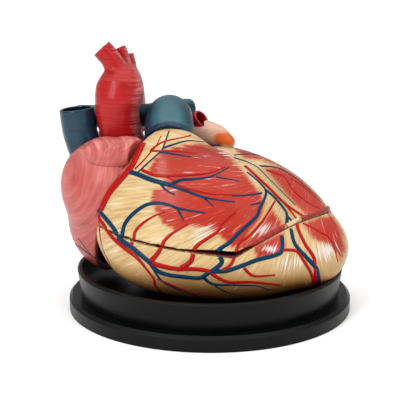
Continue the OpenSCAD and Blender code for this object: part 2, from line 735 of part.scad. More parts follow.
// Three pockets in a ring, as in the roots of the aorta and the pulmonary trunk
module pocket_valve(r, h) {
    difference() {
        cylinder(r = r, h = h, $fn = 48);
        translate([0, 0, -cut]) cylinder(r = r - leaflet_t, h = h + 2 * cut, $fn = 48);
    }
    for (i = [0:2]) rotate(120 * i) intersection() {
        translate([r * 0.48, 0, h]) difference() {
            sphere(r = r * 0.5, $fn = 32);
            sphere(r = r * 0.5 - leaflet_t, $fn = 32);
            translate([-r, -r, 0]) cube(2 * r);
        }
        cylinder(r = r - leaflet_t, h = h, $fn = 48);
    }
}
module aortic_valve() {
    start = aorta_path[1][0];
    color(valve_cream) stand_on(start, aorta_path[2][0] - start) translate([0, 0, 5]) pocket_valve(aortic_r - 1.5, 8);
}
module pulmonary_valve() {
    color(valve_cream) stand_on(trunk_root + trunk_dir * 2, trunk_dir) pocket_valve(trunk_r - vessel_wall - 3, 9);
}

// ---- the stand ------------------------------------------------------------------------------
seat_mid = [14, -34];
seat_boss_r = 11;
column_r = 7.5;
column_z = 13; // where the screw heads bear
head_h = 3.4;
module each_screw() {
    for (i = [0:screw_count - 1]) translate(seat_mid) rotate(360 * i / screw_count + 90)
        translate([screw_circle_r, 0, 0]) children();
}
module stand_dish() {
    under = dish_z - stand_wall;
    inner_r = groove_r - stand_wall - 1;
    rib_z = foot_h - stand_wall + 0.6;
    color(stand_black) difference() {
        union() {
            rotate_extrude($fn = 120) polygon([
                [foot_r - stand_wall, 0], [foot_r, 0], [foot_r, foot_h - 3], [foot_r - 3, foot_h],
                [groove_r, foot_h], [rim_r, stand_h - 1.5], [rim_r - 1.5, stand_h],
                [rim_r - stand_wall - 1, stand_h], [rim_r - stand_wall - 2.4, dish_z], [0, dish_z],
                [0, under], [inner_r, under], [inner_r, foot_h - stand_wall], [foot_r - stand_wall, foot_h - stand_wall]
            ]);
            each_screw() {
                translate([0, 0, dish_z - 1]) cylinder(r = seat_boss_r, h = seat_z - dish_z + 1, $fn = 48);
                translate([0, 0, column_z]) cylinder(r = column_r, h = dish_z - column_z - 1, $fn = 48);
            }
            for (i = [0:rib_count - 1]) rotate(360 * (i + 0.5) / rib_count)
                translate([inner_r - 42, -1.2, rib_z]) cube([43, 2.4, under - rib_z + 1]);
        }
        each_screw() cylinder(r = screw_r + 0.3, h = seat_z + cut, $fn = 32);
    }
}
screw_l = seat_z - column_z + insert_l - 1;
module stand_screws() {
    color(steel_grey) each_screw() translate([0, 0, column_z]) {
        difference() {
            translate([0, 0, -head_h]) cylinder(r = screw_head_r, h = head_h, $fn = 32);
            translate([0, 0, -head_h - cut]) cylinder(r = screw_head_r * 0.45, h = head_h - 1 + cut, $fn = 6);
        }
        cylinder(r = screw_r, h = screw_l, $fn = 32);
    }
}
module threaded_inserts() {
    color(brass_gold) each_screw() translate([0, 0, seat_z]) difference() {
        cylinder(r = insert_r, h = insert_l, $fn = 32);
        translate([0, 0, -cut]) cylinder(r = screw_r + 0.05, h = insert_l + 2 * cut, $fn = 32);
    }
}

stand_dish();
stand_screws();
threaded_inserts();
ventricle_body();
valve_plate();
tricuspid_valve();
mitral_valve();
papillary_muscles();
tendinous_cords();
seam_pegs();
seam_magnets();
crown_pegs();
front_cover();
cover_sleeves();
cover_magnets();
right_atrium();
right_auricle();
left_atrium();
left_auricle();
superior_vena_cava();
inferior_vena_cava();
pulmonary_veins();
aorta();
aortic_valve();
pulmonary_trunk();
pulmonary_valve();
crown_sleeves();
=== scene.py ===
# %% [markdown]
# # Dressing an enlarged teaching model of the human heart
#
# The model is painted PVC on a black stand, and comes apart in three sections. This lesson
# keeps the CAD frame where it is, rounds its faceted mouldings off to the smooth forms that
# they stand for, paints them, and lays the coronary vessels on the ventricles.
# Lengths are in millimetres until they reach Blender, which works in metres.

import math

import bmesh
import bpy
import numpy as np
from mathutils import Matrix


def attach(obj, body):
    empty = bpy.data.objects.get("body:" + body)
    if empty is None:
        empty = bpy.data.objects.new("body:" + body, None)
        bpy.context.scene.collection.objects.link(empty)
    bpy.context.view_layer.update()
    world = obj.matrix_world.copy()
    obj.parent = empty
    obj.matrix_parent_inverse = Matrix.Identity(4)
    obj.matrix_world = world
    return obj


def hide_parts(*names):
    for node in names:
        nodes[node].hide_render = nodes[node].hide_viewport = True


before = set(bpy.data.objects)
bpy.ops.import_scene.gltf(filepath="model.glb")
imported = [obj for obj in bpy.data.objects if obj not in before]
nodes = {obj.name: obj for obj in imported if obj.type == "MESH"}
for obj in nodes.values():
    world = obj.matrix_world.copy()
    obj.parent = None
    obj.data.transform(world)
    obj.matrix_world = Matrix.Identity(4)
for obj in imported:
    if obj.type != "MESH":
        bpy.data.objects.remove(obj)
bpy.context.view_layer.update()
MM = 0.001

# %% [markdown]
# ## The forms
#
# The real mouldings have no flat or sharp place: each swelling runs into the next. They could
# be sculpted by hand, but here each soft form is a group of lobes that melt together, because
# that gives the surface, the way out of it and the inside for any point. A lobe has a centre,
# three radii, a yaw and a pitch. Each vessel is a path through a few stations: a point and a
# radius. These are the same named values as in the part's source.

# %% Lobes of the ventricles, atria and auricles
right_lobes = [
    ((-12, -30, 92), (84, 56, 60), -8, -8),
    ((-34, -28, 133), (36, 36, 37), 0, 0),
    ((-52, -18, 84), (52, 50, 52), 0, 0),
    ((22, -36, 62), (86, 60, 42), 0, 0),
    ((-28, -42, 66), (64, 50, 40), 0, 0),
]
left_lobes = [
    ((32, 9, 93), (84, 56, 46), -14, -20),
    ((82, -28, 62), (42, 46, 36), 0, 0),
    ((36, 6, 64), (78, 54, 38), 0, 0),
]
right_atrium_lobes = [((-92.5, 0, 112), (46, 41, 45), -42, 0), ((-89.5, 5, 75), (48, 33, 45), -42, 0)]
left_atrium_lobes = [((-46, 48, 108), (42, 38, 38), 0, 0), ((-20, 62, 98), (40, 34, 34), 20, 0)]
right_auricle_lobes = [
    ((-92, -16, 142), (22, 20, 18), -25, 0),
    ((-76, -28, 149), (17, 13, 13), -20, 10),
    ((-66, -33, 153), (8, 8, 8), 0, 0),
]
left_auricle_lobes = [
    ((-9, 39, 155), (24, 12, 12), -12, -8),
    ((8, 36, 150), (9, 8, 8), 0, 0),
    ((17, 32, 146), (6.5, 6, 6), 0, 0),
]
print("lobes of the ventricles:", len(right_lobes), "right,", len(left_lobes), "left")


# %% The plane of the base, which the valves lie in
def unit(v):
    v = np.asarray(v, float)
    return v / np.linalg.norm(v, axis=-1, keepdims=True)


base_point = np.array([-98.0, -45, 93])
base_dir = unit([0.693, -0.623, -0.362])
base_side = unit([-base_dir[1], base_dir[0], 0])
base_up = np.cross(base_dir, base_side)
plate_mid = (66, 12)
septum_u = 66


def base_at(u, v, w=0.0):
    return base_point + base_side * u + base_up * v + base_dir * w


print("middle of the base in mm", np.round(base_at(*plate_mid)))

# %% Paths of the great vessels
trunk_root = np.array([-36.0, -21, 152])
trunk_dir = unit([0, 0.85, 0.5])
vessel_wall = 2.4
svc = [((-121.5, 15, 181), 16), ((-119, 15, 160), 16), ((-113, 14, 140), 16), ((-106, 12, 122), 16)]
ivc = [((-97, 20, 73), 14), ((-100, 36, 72), 14), ((-102, 48, 69), 14), ((-103, 58, 66), 14.5)]
aorta_path = [
    (base_at(66, 23, 2), 16.4), (base_at(66, 23, -8), 16.4), ((-70, 14, 138), 17.5),
    ((-80, 12, 156), 19), ((-84, 9, 180), 20), ((-81, 10, 198), 22.5), ((-80, 24, 205), 17.5),
    ((-79, 43, 203), 16), ((-77, 60, 193), 15), ((-75, 70, 177), 14), ((-73, 75, 150), 13.5),
]
arch_branches = [
    [((-80, 12, 203), 13), ((-84, 14, 216), 10.5), ((-90, 14, 227), 9.5), ((-98, 14, 236), 9.5)],
    [((-78, 28, 206), 8), ((-78, 29, 219), 6.5), ((-80, 30, 228), 6.2), ((-83, 30, 235), 6.2)],
    [((-74, 40, 206), 7), ((-73, 42, 217), 5.4), ((-74, 43, 223), 5), ((-75, 43, 228), 4.8)],
]
trunk_path = [
    (trunk_root + trunk_dir * 0.6, 23.5), (trunk_root + trunk_dir * 10, 22.7),
    ((-37, 6, 168), 22), ((-37, 22, 172), 20), ((-39, 41, 173), 12),
]
pulmonary_branches = [
    [((-40, 32, 174), 12), ((-35, 46, 175), 10), ((-28, 58, 174), 9.3), ((-19, 67, 173), 9)],
    [((-34, 34, 172), 12), ((-58, 42, 170), 11), ((-88, 45, 169), 10.5), ((-124, 47, 168), 11)],
]
vein_runs = [
    [((-38, 46, 134), 10), ((-31, 46, 148), 8.5), ((-19, 43, 158), 8.5), ((-7, 36, 168), 9.3)],
    [((-26, 66, 108), 10), ((-8, 78, 112), 8.5), ((6, 86, 113), 8.5), ((18, 92, 112), 8.5)],
    [((-58, 56, 124), 10), ((-78, 66, 134), 8.5), ((-94, 70, 140), 8.5), ((-108, 72, 143), 8.5)],
    [((-56, 60, 104), 10), ((-76, 74, 106), 8.5), ((-90, 80, 107), 8.5), ((-104, 84, 106), 8.5)],
]
print("vessels:", 4 + len(arch_branches) + len(pulmonary_branches) + len(vein_runs))


# %% The forms as functions: negative inside, and about the distance in mm near the surface
def soft_min(values, k):
    values = np.array(values)
    low = values.min(axis=0)
    return low - k * np.log(np.exp((low - values) / k).sum(axis=0))


def lobe_value(p, lobe):
    centre, radii, yaw, pitch = lobe
    a, b = math.radians(yaw), math.radians(pitch)
    long = np.array([math.cos(a) * math.cos(b), math.sin(a) * math.cos(b), math.sin(b)])
    side = np.array([-math.sin(a), math.cos(a), 0])
    q = (p - np.array(centre)) @ np.column_stack([long, side, np.cross(long, side)]) / np.array(radii)
    k0 = np.maximum(np.linalg.norm(q, axis=1), 1e-3)
    k1 = np.maximum(np.linalg.norm(q / np.array(radii), axis=1), 1e-4)
    return k0 * (k0 - 1) / k1


def lobes(p, group, k=5.0):
    return soft_min([lobe_value(p, one) for one in group], k)


def right_value(p):
    return lobes(p, right_lobes)


def left_value(p):
    return lobes(p, left_lobes)


def ventricle_value(p):
    return soft_min([right_value(p), left_value(p)], 3.0)


def past_septum(p):
    return (p - base_point) @ base_side - septum_u


def right_atrium_value(p, k=1.5):
    return -soft_min([-lobes(p, right_atrium_lobes), -past_septum(p) - 0.2], k)


def left_atrium_value(p, k=1.5):
    return -soft_min([-lobes(p, left_atrium_lobes, 6.0), past_septum(p) - 0.2], k)


middle = np.array([[20.0, -20, 71]])
print("the ventricles' middle lies", round(float(-ventricle_value(middle)[0])), "mm deep")


# %% Smooth paths, and tubes along them
def spline(rows, steps):
    """Points of a smooth path through the rows."""
    rows = np.array(rows, float)
    last, out = len(rows) - 1, []
    for i in range(last):
        a, b, c, d = rows[max(i - 1, 0)], rows[i], rows[i + 1], rows[min(i + 2, last)]
        for t in np.arange(steps) / steps:
            bend = (2 * a - 5 * b + 4 * c - d) * t * t + (3 * b - a - 3 * c + d) * t**3
            out.append(0.5 * (2 * b + (c - a) * t + bend))
    return np.array(out + [rows[-1]])


def tubes(runs, k=2.0):
    """A form made of vessels that melt together where they fork."""
    dense = [spline([(*point, radius) for point, radius in run], 12) for run in runs]

    def value(p):
        near = [
            (np.linalg.norm(p[:, None] - run[None, :, :3], axis=2) - run[:, 3]).min(axis=1)
            for run in dense
        ]
        return soft_min(near, k)

    return value


def slope(form, p, step=0.4):
    """The way out of a form, and how fast its value grows."""
    return np.stack([(form(p + step * e) - form(p - step * e)) / (2 * step) for e in np.eye(3)], axis=1)


def smooth_step(x):
    x = np.clip(x, 0, 1)
    return x * x * (3 - 2 * x)


print("points on the arch's path:", len(spline([point for point, _ in aorta_path], 12)))

# %% [markdown]
# ## The camera and the parting line
#
# The photograph was taken from straight ahead, looking down by 13.5 degrees. A painted line or
# patch is read off it in pixels. It could be drawn on a flat picture and wrapped round the
# model, but that smears at the sides. So each pixel is carried along the camera's ray to the
# surface that it lies on, and from there on the paint belongs to the mesh.

# %% Camera, and how a pixel meets a form
camera_at = np.array([-9.0, -1000, 338])
camera_pitch = math.radians(13.47)
focal_px, frame_px, sensor_mm = 1123, 400, 36
look = np.array([0, math.cos(camera_pitch), -math.sin(camera_pitch)])
look_up = np.array([0, math.sin(camera_pitch), math.cos(camera_pitch)])

camera_data = bpy.data.cameras.new("photo_camera")
camera_data.sensor_width = sensor_mm
camera_data.lens = focal_px / frame_px * sensor_mm
camera_data.clip_start, camera_data.clip_end = 0.05, 30
camera = bpy.data.objects.new("photo_camera", camera_data)
camera.location = camera_at * MM
camera.rotation_euler = (math.pi / 2 - camera_pitch, 0, 0)
bpy.context.scene.collection.objects.link(camera)
bpy.context.scene.camera = camera


def to_photo(p):
    d = p - camera_at
    depth = d @ look
    half = frame_px / 2
    return half + focal_px * d[:, 0] / depth, half - focal_px * (d @ look_up) / depth


ray_start, ray_end, ray_steps, ray_share = 760.0, 1300, 60, 0.8  # the first two in mm from the camera


def from_photo(pixels, form):
    """Where the camera's rays through the pixels first meet the form."""
    px, py = np.array(pixels, float).T
    across, down = (px - frame_px / 2) / focal_px, (py - frame_px / 2) / focal_px
    ray = unit(look + across[:, None] * np.array([1.0, 0, 0]) - down[:, None] * look_up)
    t = np.full(len(ray), ray_start)
    for _ in range(ray_steps):
        t = np.minimum(t + ray_share * form(camera_at + t[:, None] * ray), ray_end)
    return camera_at + t[:, None] * ray


print("camera lens in mm", round(camera_data.lens, 2))

# %% The parting line, as in the source
crease = np.array([20.0, -20, 71])
notch_high = 3.2  # degrees


def seam_elevation(az):
    """Height of the parting line, seen from the crease, in degrees; az is in degrees too."""
    c = np.cos(np.radians(az))
    front = np.degrees(np.arctan(c * np.where(c < 0, -0.125, 0.248 - 0.0038 * az)))
    hump = smooth_step((az - 20) / 55) * smooth_step((178 - az) / 24)
    return front * (1 - hump) + 60 * hump


def notch(az):
    """How much higher the front wall's edge starts where it is notched, in degrees."""
    return notch_high * np.exp(-(((az + 92) / np.where(az < -92, 20, 9)) ** 2))


def above_seam(p):
    """How far a point lies above the parting line, in degrees seen from the crease."""
    d = p - crease
    az = np.degrees(np.arctan2(d[:, 1], d[:, 0]))
    return np.degrees(np.arctan2(d[:, 2], np.hypot(d[:, 0], d[:, 1]))) - seam_elevation(az)


print("parting line ahead and at the right, in degrees:", np.round(seam_elevation(np.array([-90.0, 0.0])), 1))

# %% [markdown]
# ## Colour
#
# The model is painted by hand: a ground, then coats of red, deep red and white with a fine
# brush that follows the muscle fibres. A picture could be painted and wrapped on, but it would
# blur close up. So each coat has a mask on the mesh, and a noise drawn out along the fibres
# breaks the mask's edge up into brush strokes. The "grain" attribute gives a place along the
# fibres and across them, in millimetres, and a stroke's length and width are in the same unit.

# %% Node and material tools
def linear(code):
    parts = [int(code[i : i + 2], 16) / 255 for i in (1, 3, 5)]
    return [v / 12.92 if v <= 0.04045 else ((v + 0.055) / 1.055) ** 2.4 for v in parts] + [1.0]


def add(tree, kind, inputs=None, **settings):
    made = tree.nodes.new(kind)
    for key, value in settings.items():
        setattr(made, key, value)
    for key, value in (inputs or {}).items():
        if isinstance(value, bpy.types.NodeSocket):
            tree.links.new(value, made.inputs[key])
        else:
            made.inputs[key].default_value = value
    return made


def new_material(name):
    material = bpy.data.materials.new(name)
    material.use_nodes = True
    material.node_tree.nodes.clear()
    return material, material.node_tree


def finish_material(tree, colour, rough, height=None, relief=0.0, **shader):
    """The shader, with the colour, roughness and relief that the nodes worked out."""
    inputs = {"Base Color": colour, "Roughness": rough, **shader}
    if height is not None:
        bump = add(tree, "ShaderNodeBump", {"Height": height, "Distance": relief * MM, "Strength": 1.0})
        inputs["Normal"] = bump.outputs[0]
    made = add(tree, "ShaderNodeBsdfPrincipled", inputs)
    add(tree, "ShaderNodeOutputMaterial", {"Surface": made.outputs[0]})


# %% Hand-painted PVC, as one function for all its colours
brush = (26, 1.5)  # a stroke's length and width in mm, about twice the real ones so that they show
cloud_scale, speck_scale = 45.0, 900.0  # per metre: drifts of some 22 mm, and specks of about 1 mm
shade = 0.66  # how dark the coats look under their varnish


def painted(name, ground, mottle, coats, stroke=brush, rough=(0.34, 0.5), relief=0.12, gloss=0.14, hair=0.2):
    """A coat is (mask, colour, how streaky its edge is, from, to)."""
    material, tree = new_material(name)
    place = add(tree, "ShaderNodeTexCoord").outputs["Object"]
    grain = add(tree, "ShaderNodeAttribute", attribute_name="grain").outputs["Vector"]
    drawn = (1 / stroke[0], 1 / stroke[1], 0.0)
    along = add(tree, "ShaderNodeVectorMath", {0: grain, 1: drawn}, operation="MULTIPLY").outputs[0]
    strokes = {"Vector": along, "Scale": 1.0, "Detail": 4.0, "Roughness": 0.62}
    streak = add(tree, "ShaderNodeTexNoise", strokes)
    whole = {"Value": streak.outputs["Fac"], "From Min": 0.3, "From Max": 0.7}
    streak = add(tree, "ShaderNodeMapRange", whole).outputs[0]
    drifts = {"Vector": place, "Scale": cloud_scale, "Detail": 3.0}
    cloud = add(tree, "ShaderNodeTexNoise", drifts).outputs["Fac"]
    specks = {"Vector": place, "Scale": speck_scale, "Detail": 2.0}
    spots = add(tree, "ShaderNodeTexNoise", specks).outputs["Fac"]
    both = add(tree, "ShaderNodeMath", {0: cloud, 1: streak}, operation="ADD").outputs[0]
    drift = add(tree, "ShaderNodeMapRange", {"Value": both, "From Min": 0.45, "From Max": 1.55}).outputs[0]
    mixing = {0: drift, 6: linear(ground), 7: linear(mottle)}
    colour = add(tree, "ShaderNodeMix", mixing, data_type="RGBA").outputs[2]
    for mask, paint, streaky, low, high in coats:
        amount = add(tree, "ShaderNodeAttribute", attribute_name=mask).outputs["Fac"]
        swing = {0: streak, 1: 2 * streaky, 2: -streaky}
        swing = add(tree, "ShaderNodeMath", swing, operation="MULTIPLY_ADD").outputs[0]
        edge = add(tree, "ShaderNodeMath", {0: amount, 1: swing}, operation="ADD").outputs[0]
        ends = {"Value": edge, "From Min": low, "From Max": high}
        share = add(tree, "ShaderNodeMapRange", ends, interpolation_type="SMOOTHSTEP").outputs[0]
        mixing = {0: share, 6: colour, 7: linear(paint)}
        colour = add(tree, "ShaderNodeMix", mixing, data_type="RGBA").outputs[2]
    # brush hairs: fine light and dark lines in every coat
    hairs = {"Value": streak, "To Min": shade - hair, "To Max": shade + hair}
    hairs = add(tree, "ShaderNodeMapRange", hairs).outputs[0]
    colour = add(tree, "ShaderNodeVectorMath", {0: colour, 3: hairs}, operation="SCALE").outputs[0]
    rough_ends = {"Value": cloud, "From Min": 0.3, "From Max": 0.7, "To Min": rough[0], "To Max": rough[1]}
    shine = add(tree, "ShaderNodeMapRange", rough_ends).outputs[0]
    height = add(tree, "ShaderNodeMath", {0: spots, 1: 0.25, 2: streak}, operation="MULTIPLY_ADD").outputs[0]
    coat = {"Coat Weight": gloss, "Coat Roughness": 0.16, "Specular IOR Level": 0.22}
    finish_material(tree, colour, shine, height, relief, **coat)
    return material


# %% Moulded and machined materials
def plain(name, colour, second, scale, rough, relief, **shader):
    """Colour, roughness and relief drift a little, over 1000 / scale millimetres."""
    material, tree = new_material(name)
    place = add(tree, "ShaderNodeTexCoord").outputs["Object"]
    drifts = {"Vector": place, "Scale": scale, "Detail": 4.0}
    cloud = add(tree, "ShaderNodeTexNoise", drifts).outputs["Fac"]
    texture = {"Vector": place, "Scale": scale * 22, "Detail": 2.0}
    fine = add(tree, "ShaderNodeTexNoise", texture).outputs["Fac"]
    mixing = {0: cloud, 6: linear(colour), 7: linear(second)}
    shade = add(tree, "ShaderNodeMix", mixing, data_type="RGBA").outputs[2]
    ends = {"Value": cloud, "From Min": 0.3, "From Max": 0.7, "To Min": rough[0], "To Max": rough[1]}
    shine = add(tree, "ShaderNodeMapRange", ends).outputs[0]
    finish_material(tree, shade, shine, fine, relief, **shader)
    return material


# %% [markdown]
# ## The painted sections
#
# All the soft sections are cast in PVC and painted with acrylic, under a thin satin varnish.
# To the eye that is full colour, a broad soft highlight and a faint relief of brush strokes.
# Plastic and varnish keep Blender's usual IOR of 1.5, with the reflection turned down, because
# the studio in the photograph is all white and the paint still looks deep. The colours are
# read off the photograph.

# %% Muscle, fat and the atria
inside_coat = ("inside", "#a8453b", 0.1, 0.3, 0.7)
# painted shadow: dark red-brown along the parting line, where shade falls into the gap between the sections
groove_coat = ("groove", "#4a120e", 0.12, 0.3, 0.9)
# Painted PVC of the ventricles: cream-yellow fat below, streaked muscle red over it, so that
# the eye reads fibres that run from the base to the apex
ventricle_paint = painted(
    "ventricle_paint", "#dfb06a", "#f2d8a4",
    [
        ("warm", "#cc8434", 0.3, 0.1, 1.2),
        ("red", "#c83018", 0.42, 0.25, 0.85),
        ("red", "#e38a72", 0.75, 1.2, 2.1),
        ("deep", "#a3271b", 0.6, 0.5, 1.3),
        # the pale coat holds white paint, and the painted sheen along the upper right rim
        ("pale", "#fff2ee", 0.9, 0.4, 1.25),
        groove_coat, inside_coat,
    ],
    hair=0.13,
)
# Painted PVC of the atria: flesh pink with broad soft strokes, smoother than the muscle, with painted light
# on what faces up and painted shade in the creases
atrium_paint = painted(
    "atrium_paint", "#cf5652", "#e07c74",
    [
        # pale is painted light on what faces up; deep is painted shade in the creases, and darker paint at
        # the foot
        ("pale", "#eeaaa0", 0.35, 0.4, 1.3), ("deep", "#b5392f", 0.35, 0.4, 1.2),
        ("warm", "#dc7440", 0.2, 0.3, 1.1), groove_coat, inside_coat,
    ],
    stroke=(34, 3.4), relief=0.06, hair=0.1,
)
# Painted PVC of the left auricle: peach with orange tips
auricle_paint = painted(
    "auricle_paint", "#f0b494", "#fad0b6",
    [("warm", "#ee6a1e", 0.3, 0.15, 0.95), groove_coat, inside_coat],
    stroke=(14, 3.0), relief=0.06, hair=0.08,
)
print("painted sections:", [material.name for material in bpy.data.materials])

# %% [markdown]
# The vessels follow the teaching code: arteries red, veins blue. They take the same paint, but
# more varnish, so they gleam where the muscle doesn't. Each has a darker coat in its bore.

# %% The vessels
# Painted PVC of the aorta: deep red with fine rings, and a pale painted sheen at the sides
aorta_paint = painted(
    "aorta_paint", "#b50d10", "#cc1c1e",
    # pale is the painted sheen down the sides
    [("pale", "#e59a98", 0.35, 0.4, 1.4), ("inside", "#8e1010", 0.1, 0.3, 0.7)],
    stroke=(34, 1.3), rough=(0.3, 0.42), relief=0.1, hair=0.14,
)
# Glossy enamelled PVC of the two caval veins
cava_paint = painted(
    "cava_paint", "#032a3e", "#08465e", [("inside", "#06202e", 0.1, 0.3, 0.7)],
    stroke=(60, 14), rough=(0.16, 0.26), relief=0.02, gloss=0.3, hair=0.04,
)
# Satin painted PVC of the pulmonary trunk: dark teal, grey teal where painted light falls on its upper side,
# with a dark blue rim at its foot
trunk_paint = painted(
    "trunk_paint", "#062c3c", "#0f4454",
    [
        # pale is painted light on the upper side
        ("pale", "#3c7480", 0.1, 0.35, 1.35), ("deep", "#013050", 0.05, 0.35, 0.7),
        ("inside", "#0a2636", 0.1, 0.3, 0.7),
    ],
    stroke=(60, 18), rough=(0.34, 0.44), relief=0.02, hair=0.03,
)
# Painted PVC of the pulmonary veins: bright arterial red
vein_red_paint = painted(
    "vein_red_paint", "#b8161a", "#cf2f2c", [("inside", "#a81414", 0.1, 0.3, 0.7)],
    stroke=(20, 2.5), rough=(0.24, 0.34), relief=0.05, gloss=0.4,
)
# Enamel lines of the coronary vessels: thick, smooth and saturated, with little varnish over them
enamel = {"Coat Weight": 0.05, "Coat Roughness": 0.12}
artery_line = plain(
    "artery_line", "#8c0402", "#ae0a04", 120, (0.26, 0.38), 0.05, **enamel, **{"Specular IOR Level": 0.12}
)
vein_line = plain(
    "vein_line", "#01213a", "#033a58", 120, (0.26, 0.38), 0.05, **enamel, **{"Specular IOR Level": 0.1}
)
# Painted PVC of the front wall's rounded edge: muscle red, and cream where it crosses the fat
lip_paint = painted(
    "lip_paint", "#8c1a10", "#c03420", [("pale", "#f2d8a4", 0.3, 0.3, 0.8)], stroke=(9, 1.6), relief=0.08
)
print("materials so far:", len(bpy.data.materials))

# %% [markdown]
# The stand is moulded in black ABS, polished in the mould, which gives soft highlights along
# its rims. The valves are softer PVC without varnish. The fittings are turned metal, so they
# are the only pieces that reflect like a mirror, and they keep the default IOR.

# %% The stand, the valves and the fittings
# Satin black ABS of the stand
stand_abs = plain("stand_abs", "#030404", "#070808", 60, (0.3, 0.4), 0.02, **{"Specular IOR Level": 0.14})
# Flesh-red PVC of the ring plate, and cream PVC of the valves
plate_pvc = plain("plate_pvc", "#a04a38", "#b9654e", 90, (0.4, 0.55), 0.03)
valve_pvc = plain("valve_pvc", "#e4d3b4", "#efe4cd", 90, (0.4, 0.55), 0.03)
# Turned steel and brass fittings
steel = plain("turned_steel", "#b4b7b9", "#cfd2d4", 300, (0.25, 0.4), 0.01, **{"Metallic": 1.0})
brass = plain("turned_brass", "#a8853a", "#caa552", 300, (0.28, 0.42), 0.01, **{"Metallic": 1.0})
print("materials:", len(bpy.data.materials))

# %% [markdown]
# ## The mouldings
#
# Each faceted node stands for a smooth casting. Subdividing it would keep its uneven facets, so
# a copy is remeshed into small even faces, and each vertex is drawn a little towards its
# neighbours. Faces near a form's skin are then carried onto the form itself, so the surface is
# smooth, while the edges where the sections part keep their place. The node's triangles are
# loose, so the copy's doubles are merged first.

# %% Smooth a mesh, and settle it on its form
def mesh_arrays(mesh):
    co = np.empty(len(mesh.vertices) * 3, np.float64)
    mesh.vertices.foreach_get("co", co)
    normal = np.empty(len(mesh.vertices) * 3, np.float64)
    mesh.vertex_normals.foreach_get("vector", normal)
    edges = np.empty(len(mesh.edges) * 2, np.int64)
    mesh.edges.foreach_get("vertices", edges)
    return co.reshape(-1, 3) / MM, normal.reshape(-1, 3), edges.reshape(-1, 2)


def relax(co, edges, rounds):
    """Moves each vertex towards the middle of its neighbours."""
    n = len(co)
    ends = np.concatenate([edges[:, 0], edges[:, 1]])
    others = np.concatenate([edges[:, 1], edges[:, 0]])
    count = np.maximum(np.bincount(ends, minlength=n), 1)
    for _ in range(rounds):
        mean = np.stack([np.bincount(ends, co[others, k], minlength=n) for k in range(3)], axis=1)
        co = co + 0.5 * (mean / count[:, None] - co)
    return co


def settle(co, normal, form, level=0.0, way=1.0, reach=4.0):
    """Carries vertices that face out of a form's skin onto it."""
    out = slope(form, co)
    steep = np.linalg.norm(out, axis=1)
    off = form(co) - level
    facing = way * (normal * out).sum(axis=1) / steep
    share = smooth_step((facing - 0.3) / 0.35) * smooth_step((reach - np.abs(off)) / (0.4 * reach))
    return co - (share * off / steep**2)[:, None] * out


def store(mesh, name, values):
    values = np.asarray(values, np.float32)
    vector = values.ndim == 2
    kind = "FLOAT_VECTOR" if vector else "FLOAT"
    layer = mesh.attributes.new(name, kind, "POINT")
    layer.data.foreach_set("vector" if vector else "value", values.ravel())


# %% A smooth copy of a node, and its dress
def moulded(name, node, voxel, skins, rounds=5):
    """A smooth copy of a node. A skin is (form, level, way, reach)."""
    mesh = nodes[node].data.copy()
    work = bmesh.new()
    work.from_mesh(mesh)
    bmesh.ops.remove_doubles(work, verts=work.verts, dist=1e-6)
    work.to_mesh(mesh)
    work.free()
    obj = bpy.data.objects.new(name, mesh)
    bpy.context.scene.collection.objects.link(obj)
    remesh = obj.modifiers.new("even", "REMESH")
    remesh.mode, remesh.voxel_size = "VOXEL", voxel * MM
    even = bpy.data.meshes.new_from_object(obj.evaluated_get(bpy.context.evaluated_depsgraph_get()))
    obj.modifiers.clear()
    obj.data = even
    co, normal, edges = mesh_arrays(even)
    co = relax(co, edges, rounds)
    for _ in range(2):
        for form, level, way, reach in skins:
            co = settle(co, normal, form, level, way, reach)
    even.vertices.foreach_set("co", (co * MM).astype(np.float32).ravel())
    even.update()
    even.shade_smooth()
    print(f"{name}: {len(even.vertices)} vertices, {2 * len(even.polygons)} triangles")
    return obj


def dress(obj, node, body, material, finish, masks):
    """Masks, material and the place in the frame of a moulded piece."""
    for name, values in masks.items():
        store(obj.data, name, values)
    obj.data.materials.clear()
    obj.data.materials.append(material)
    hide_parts(node)
    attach(obj, body)


# %% [markdown]
# ## The ventricles
#
# The lower half stays on the stand, and the front wall comes off. The real ones are painted
# while they are joined, so a stroke runs over the parting line. The patches could be painted
# on each half by hand; here both halves read the same outlines, so they always meet. In front
# the patches of muscle and of pale fat follow the photograph, and at the back the fat keeps to
# the grooves that the vessels run in.

# %% Patches read off the photograph, as outlines in pixels
dome_muscle = [
    (163, 150), (176, 146), (200, 143), (219, 147), (233, 158), (246, 174), (258, 190), (265, 203),
    (262, 216), (252, 231), (244, 246), (232, 248), (222, 238), (208, 229), (190, 226), (176, 231),
    (163, 224), (155, 211), (151, 199), (153, 189), (166, 186), (160, 178), (148, 172), (153, 160),
]
front_muscle = [
    (272, 210), (282, 221), (283, 231), (268, 240), (246, 249), (236, 250), (246, 238), (262, 222),
]
left_muscle = [
    (264, 168), (284, 167), (302, 178), (318, 196), (332, 213), (318, 214), (305, 215), (296, 206),
    (284, 192), (274, 180),
]
crest_muscle = [(236, 149), (250, 148), (270, 152), (292, 168), (282, 168), (262, 160), (244, 158)]
below_muscle = [(253, 247), (270, 238), (284, 232), (286, 246), (281, 254), (268, 258), (256, 258)]
apex_muscle = [
    (302, 224), (318, 217), (333, 216), (342, 232), (347, 248), (341, 262), (337, 254), (329, 246),
    (312, 238),
]
pale_blotches = [
    ((203, 233), 17, 7, -18), ((262, 230), 12, 6, -30), ((290, 262), 15, 8, -10),
    ((326, 252), 10, 10, 0), ((268, 249), 9, 4, 0),
]
# a painted sheen along the dome's upper right edge, laid in the pale coat
rim_sheen = [
    (206, 139), (224, 146), (242, 160), (257, 176), (266, 190), (258, 190), (246, 176), (232, 162),
    (216, 151),
]
muscle_patches = (dome_muscle, front_muscle, left_muscle, crest_muscle, below_muscle, apex_muscle)
print("patches of muscle in front:", len(muscle_patches), "and of pale paint:", len(pale_blotches))


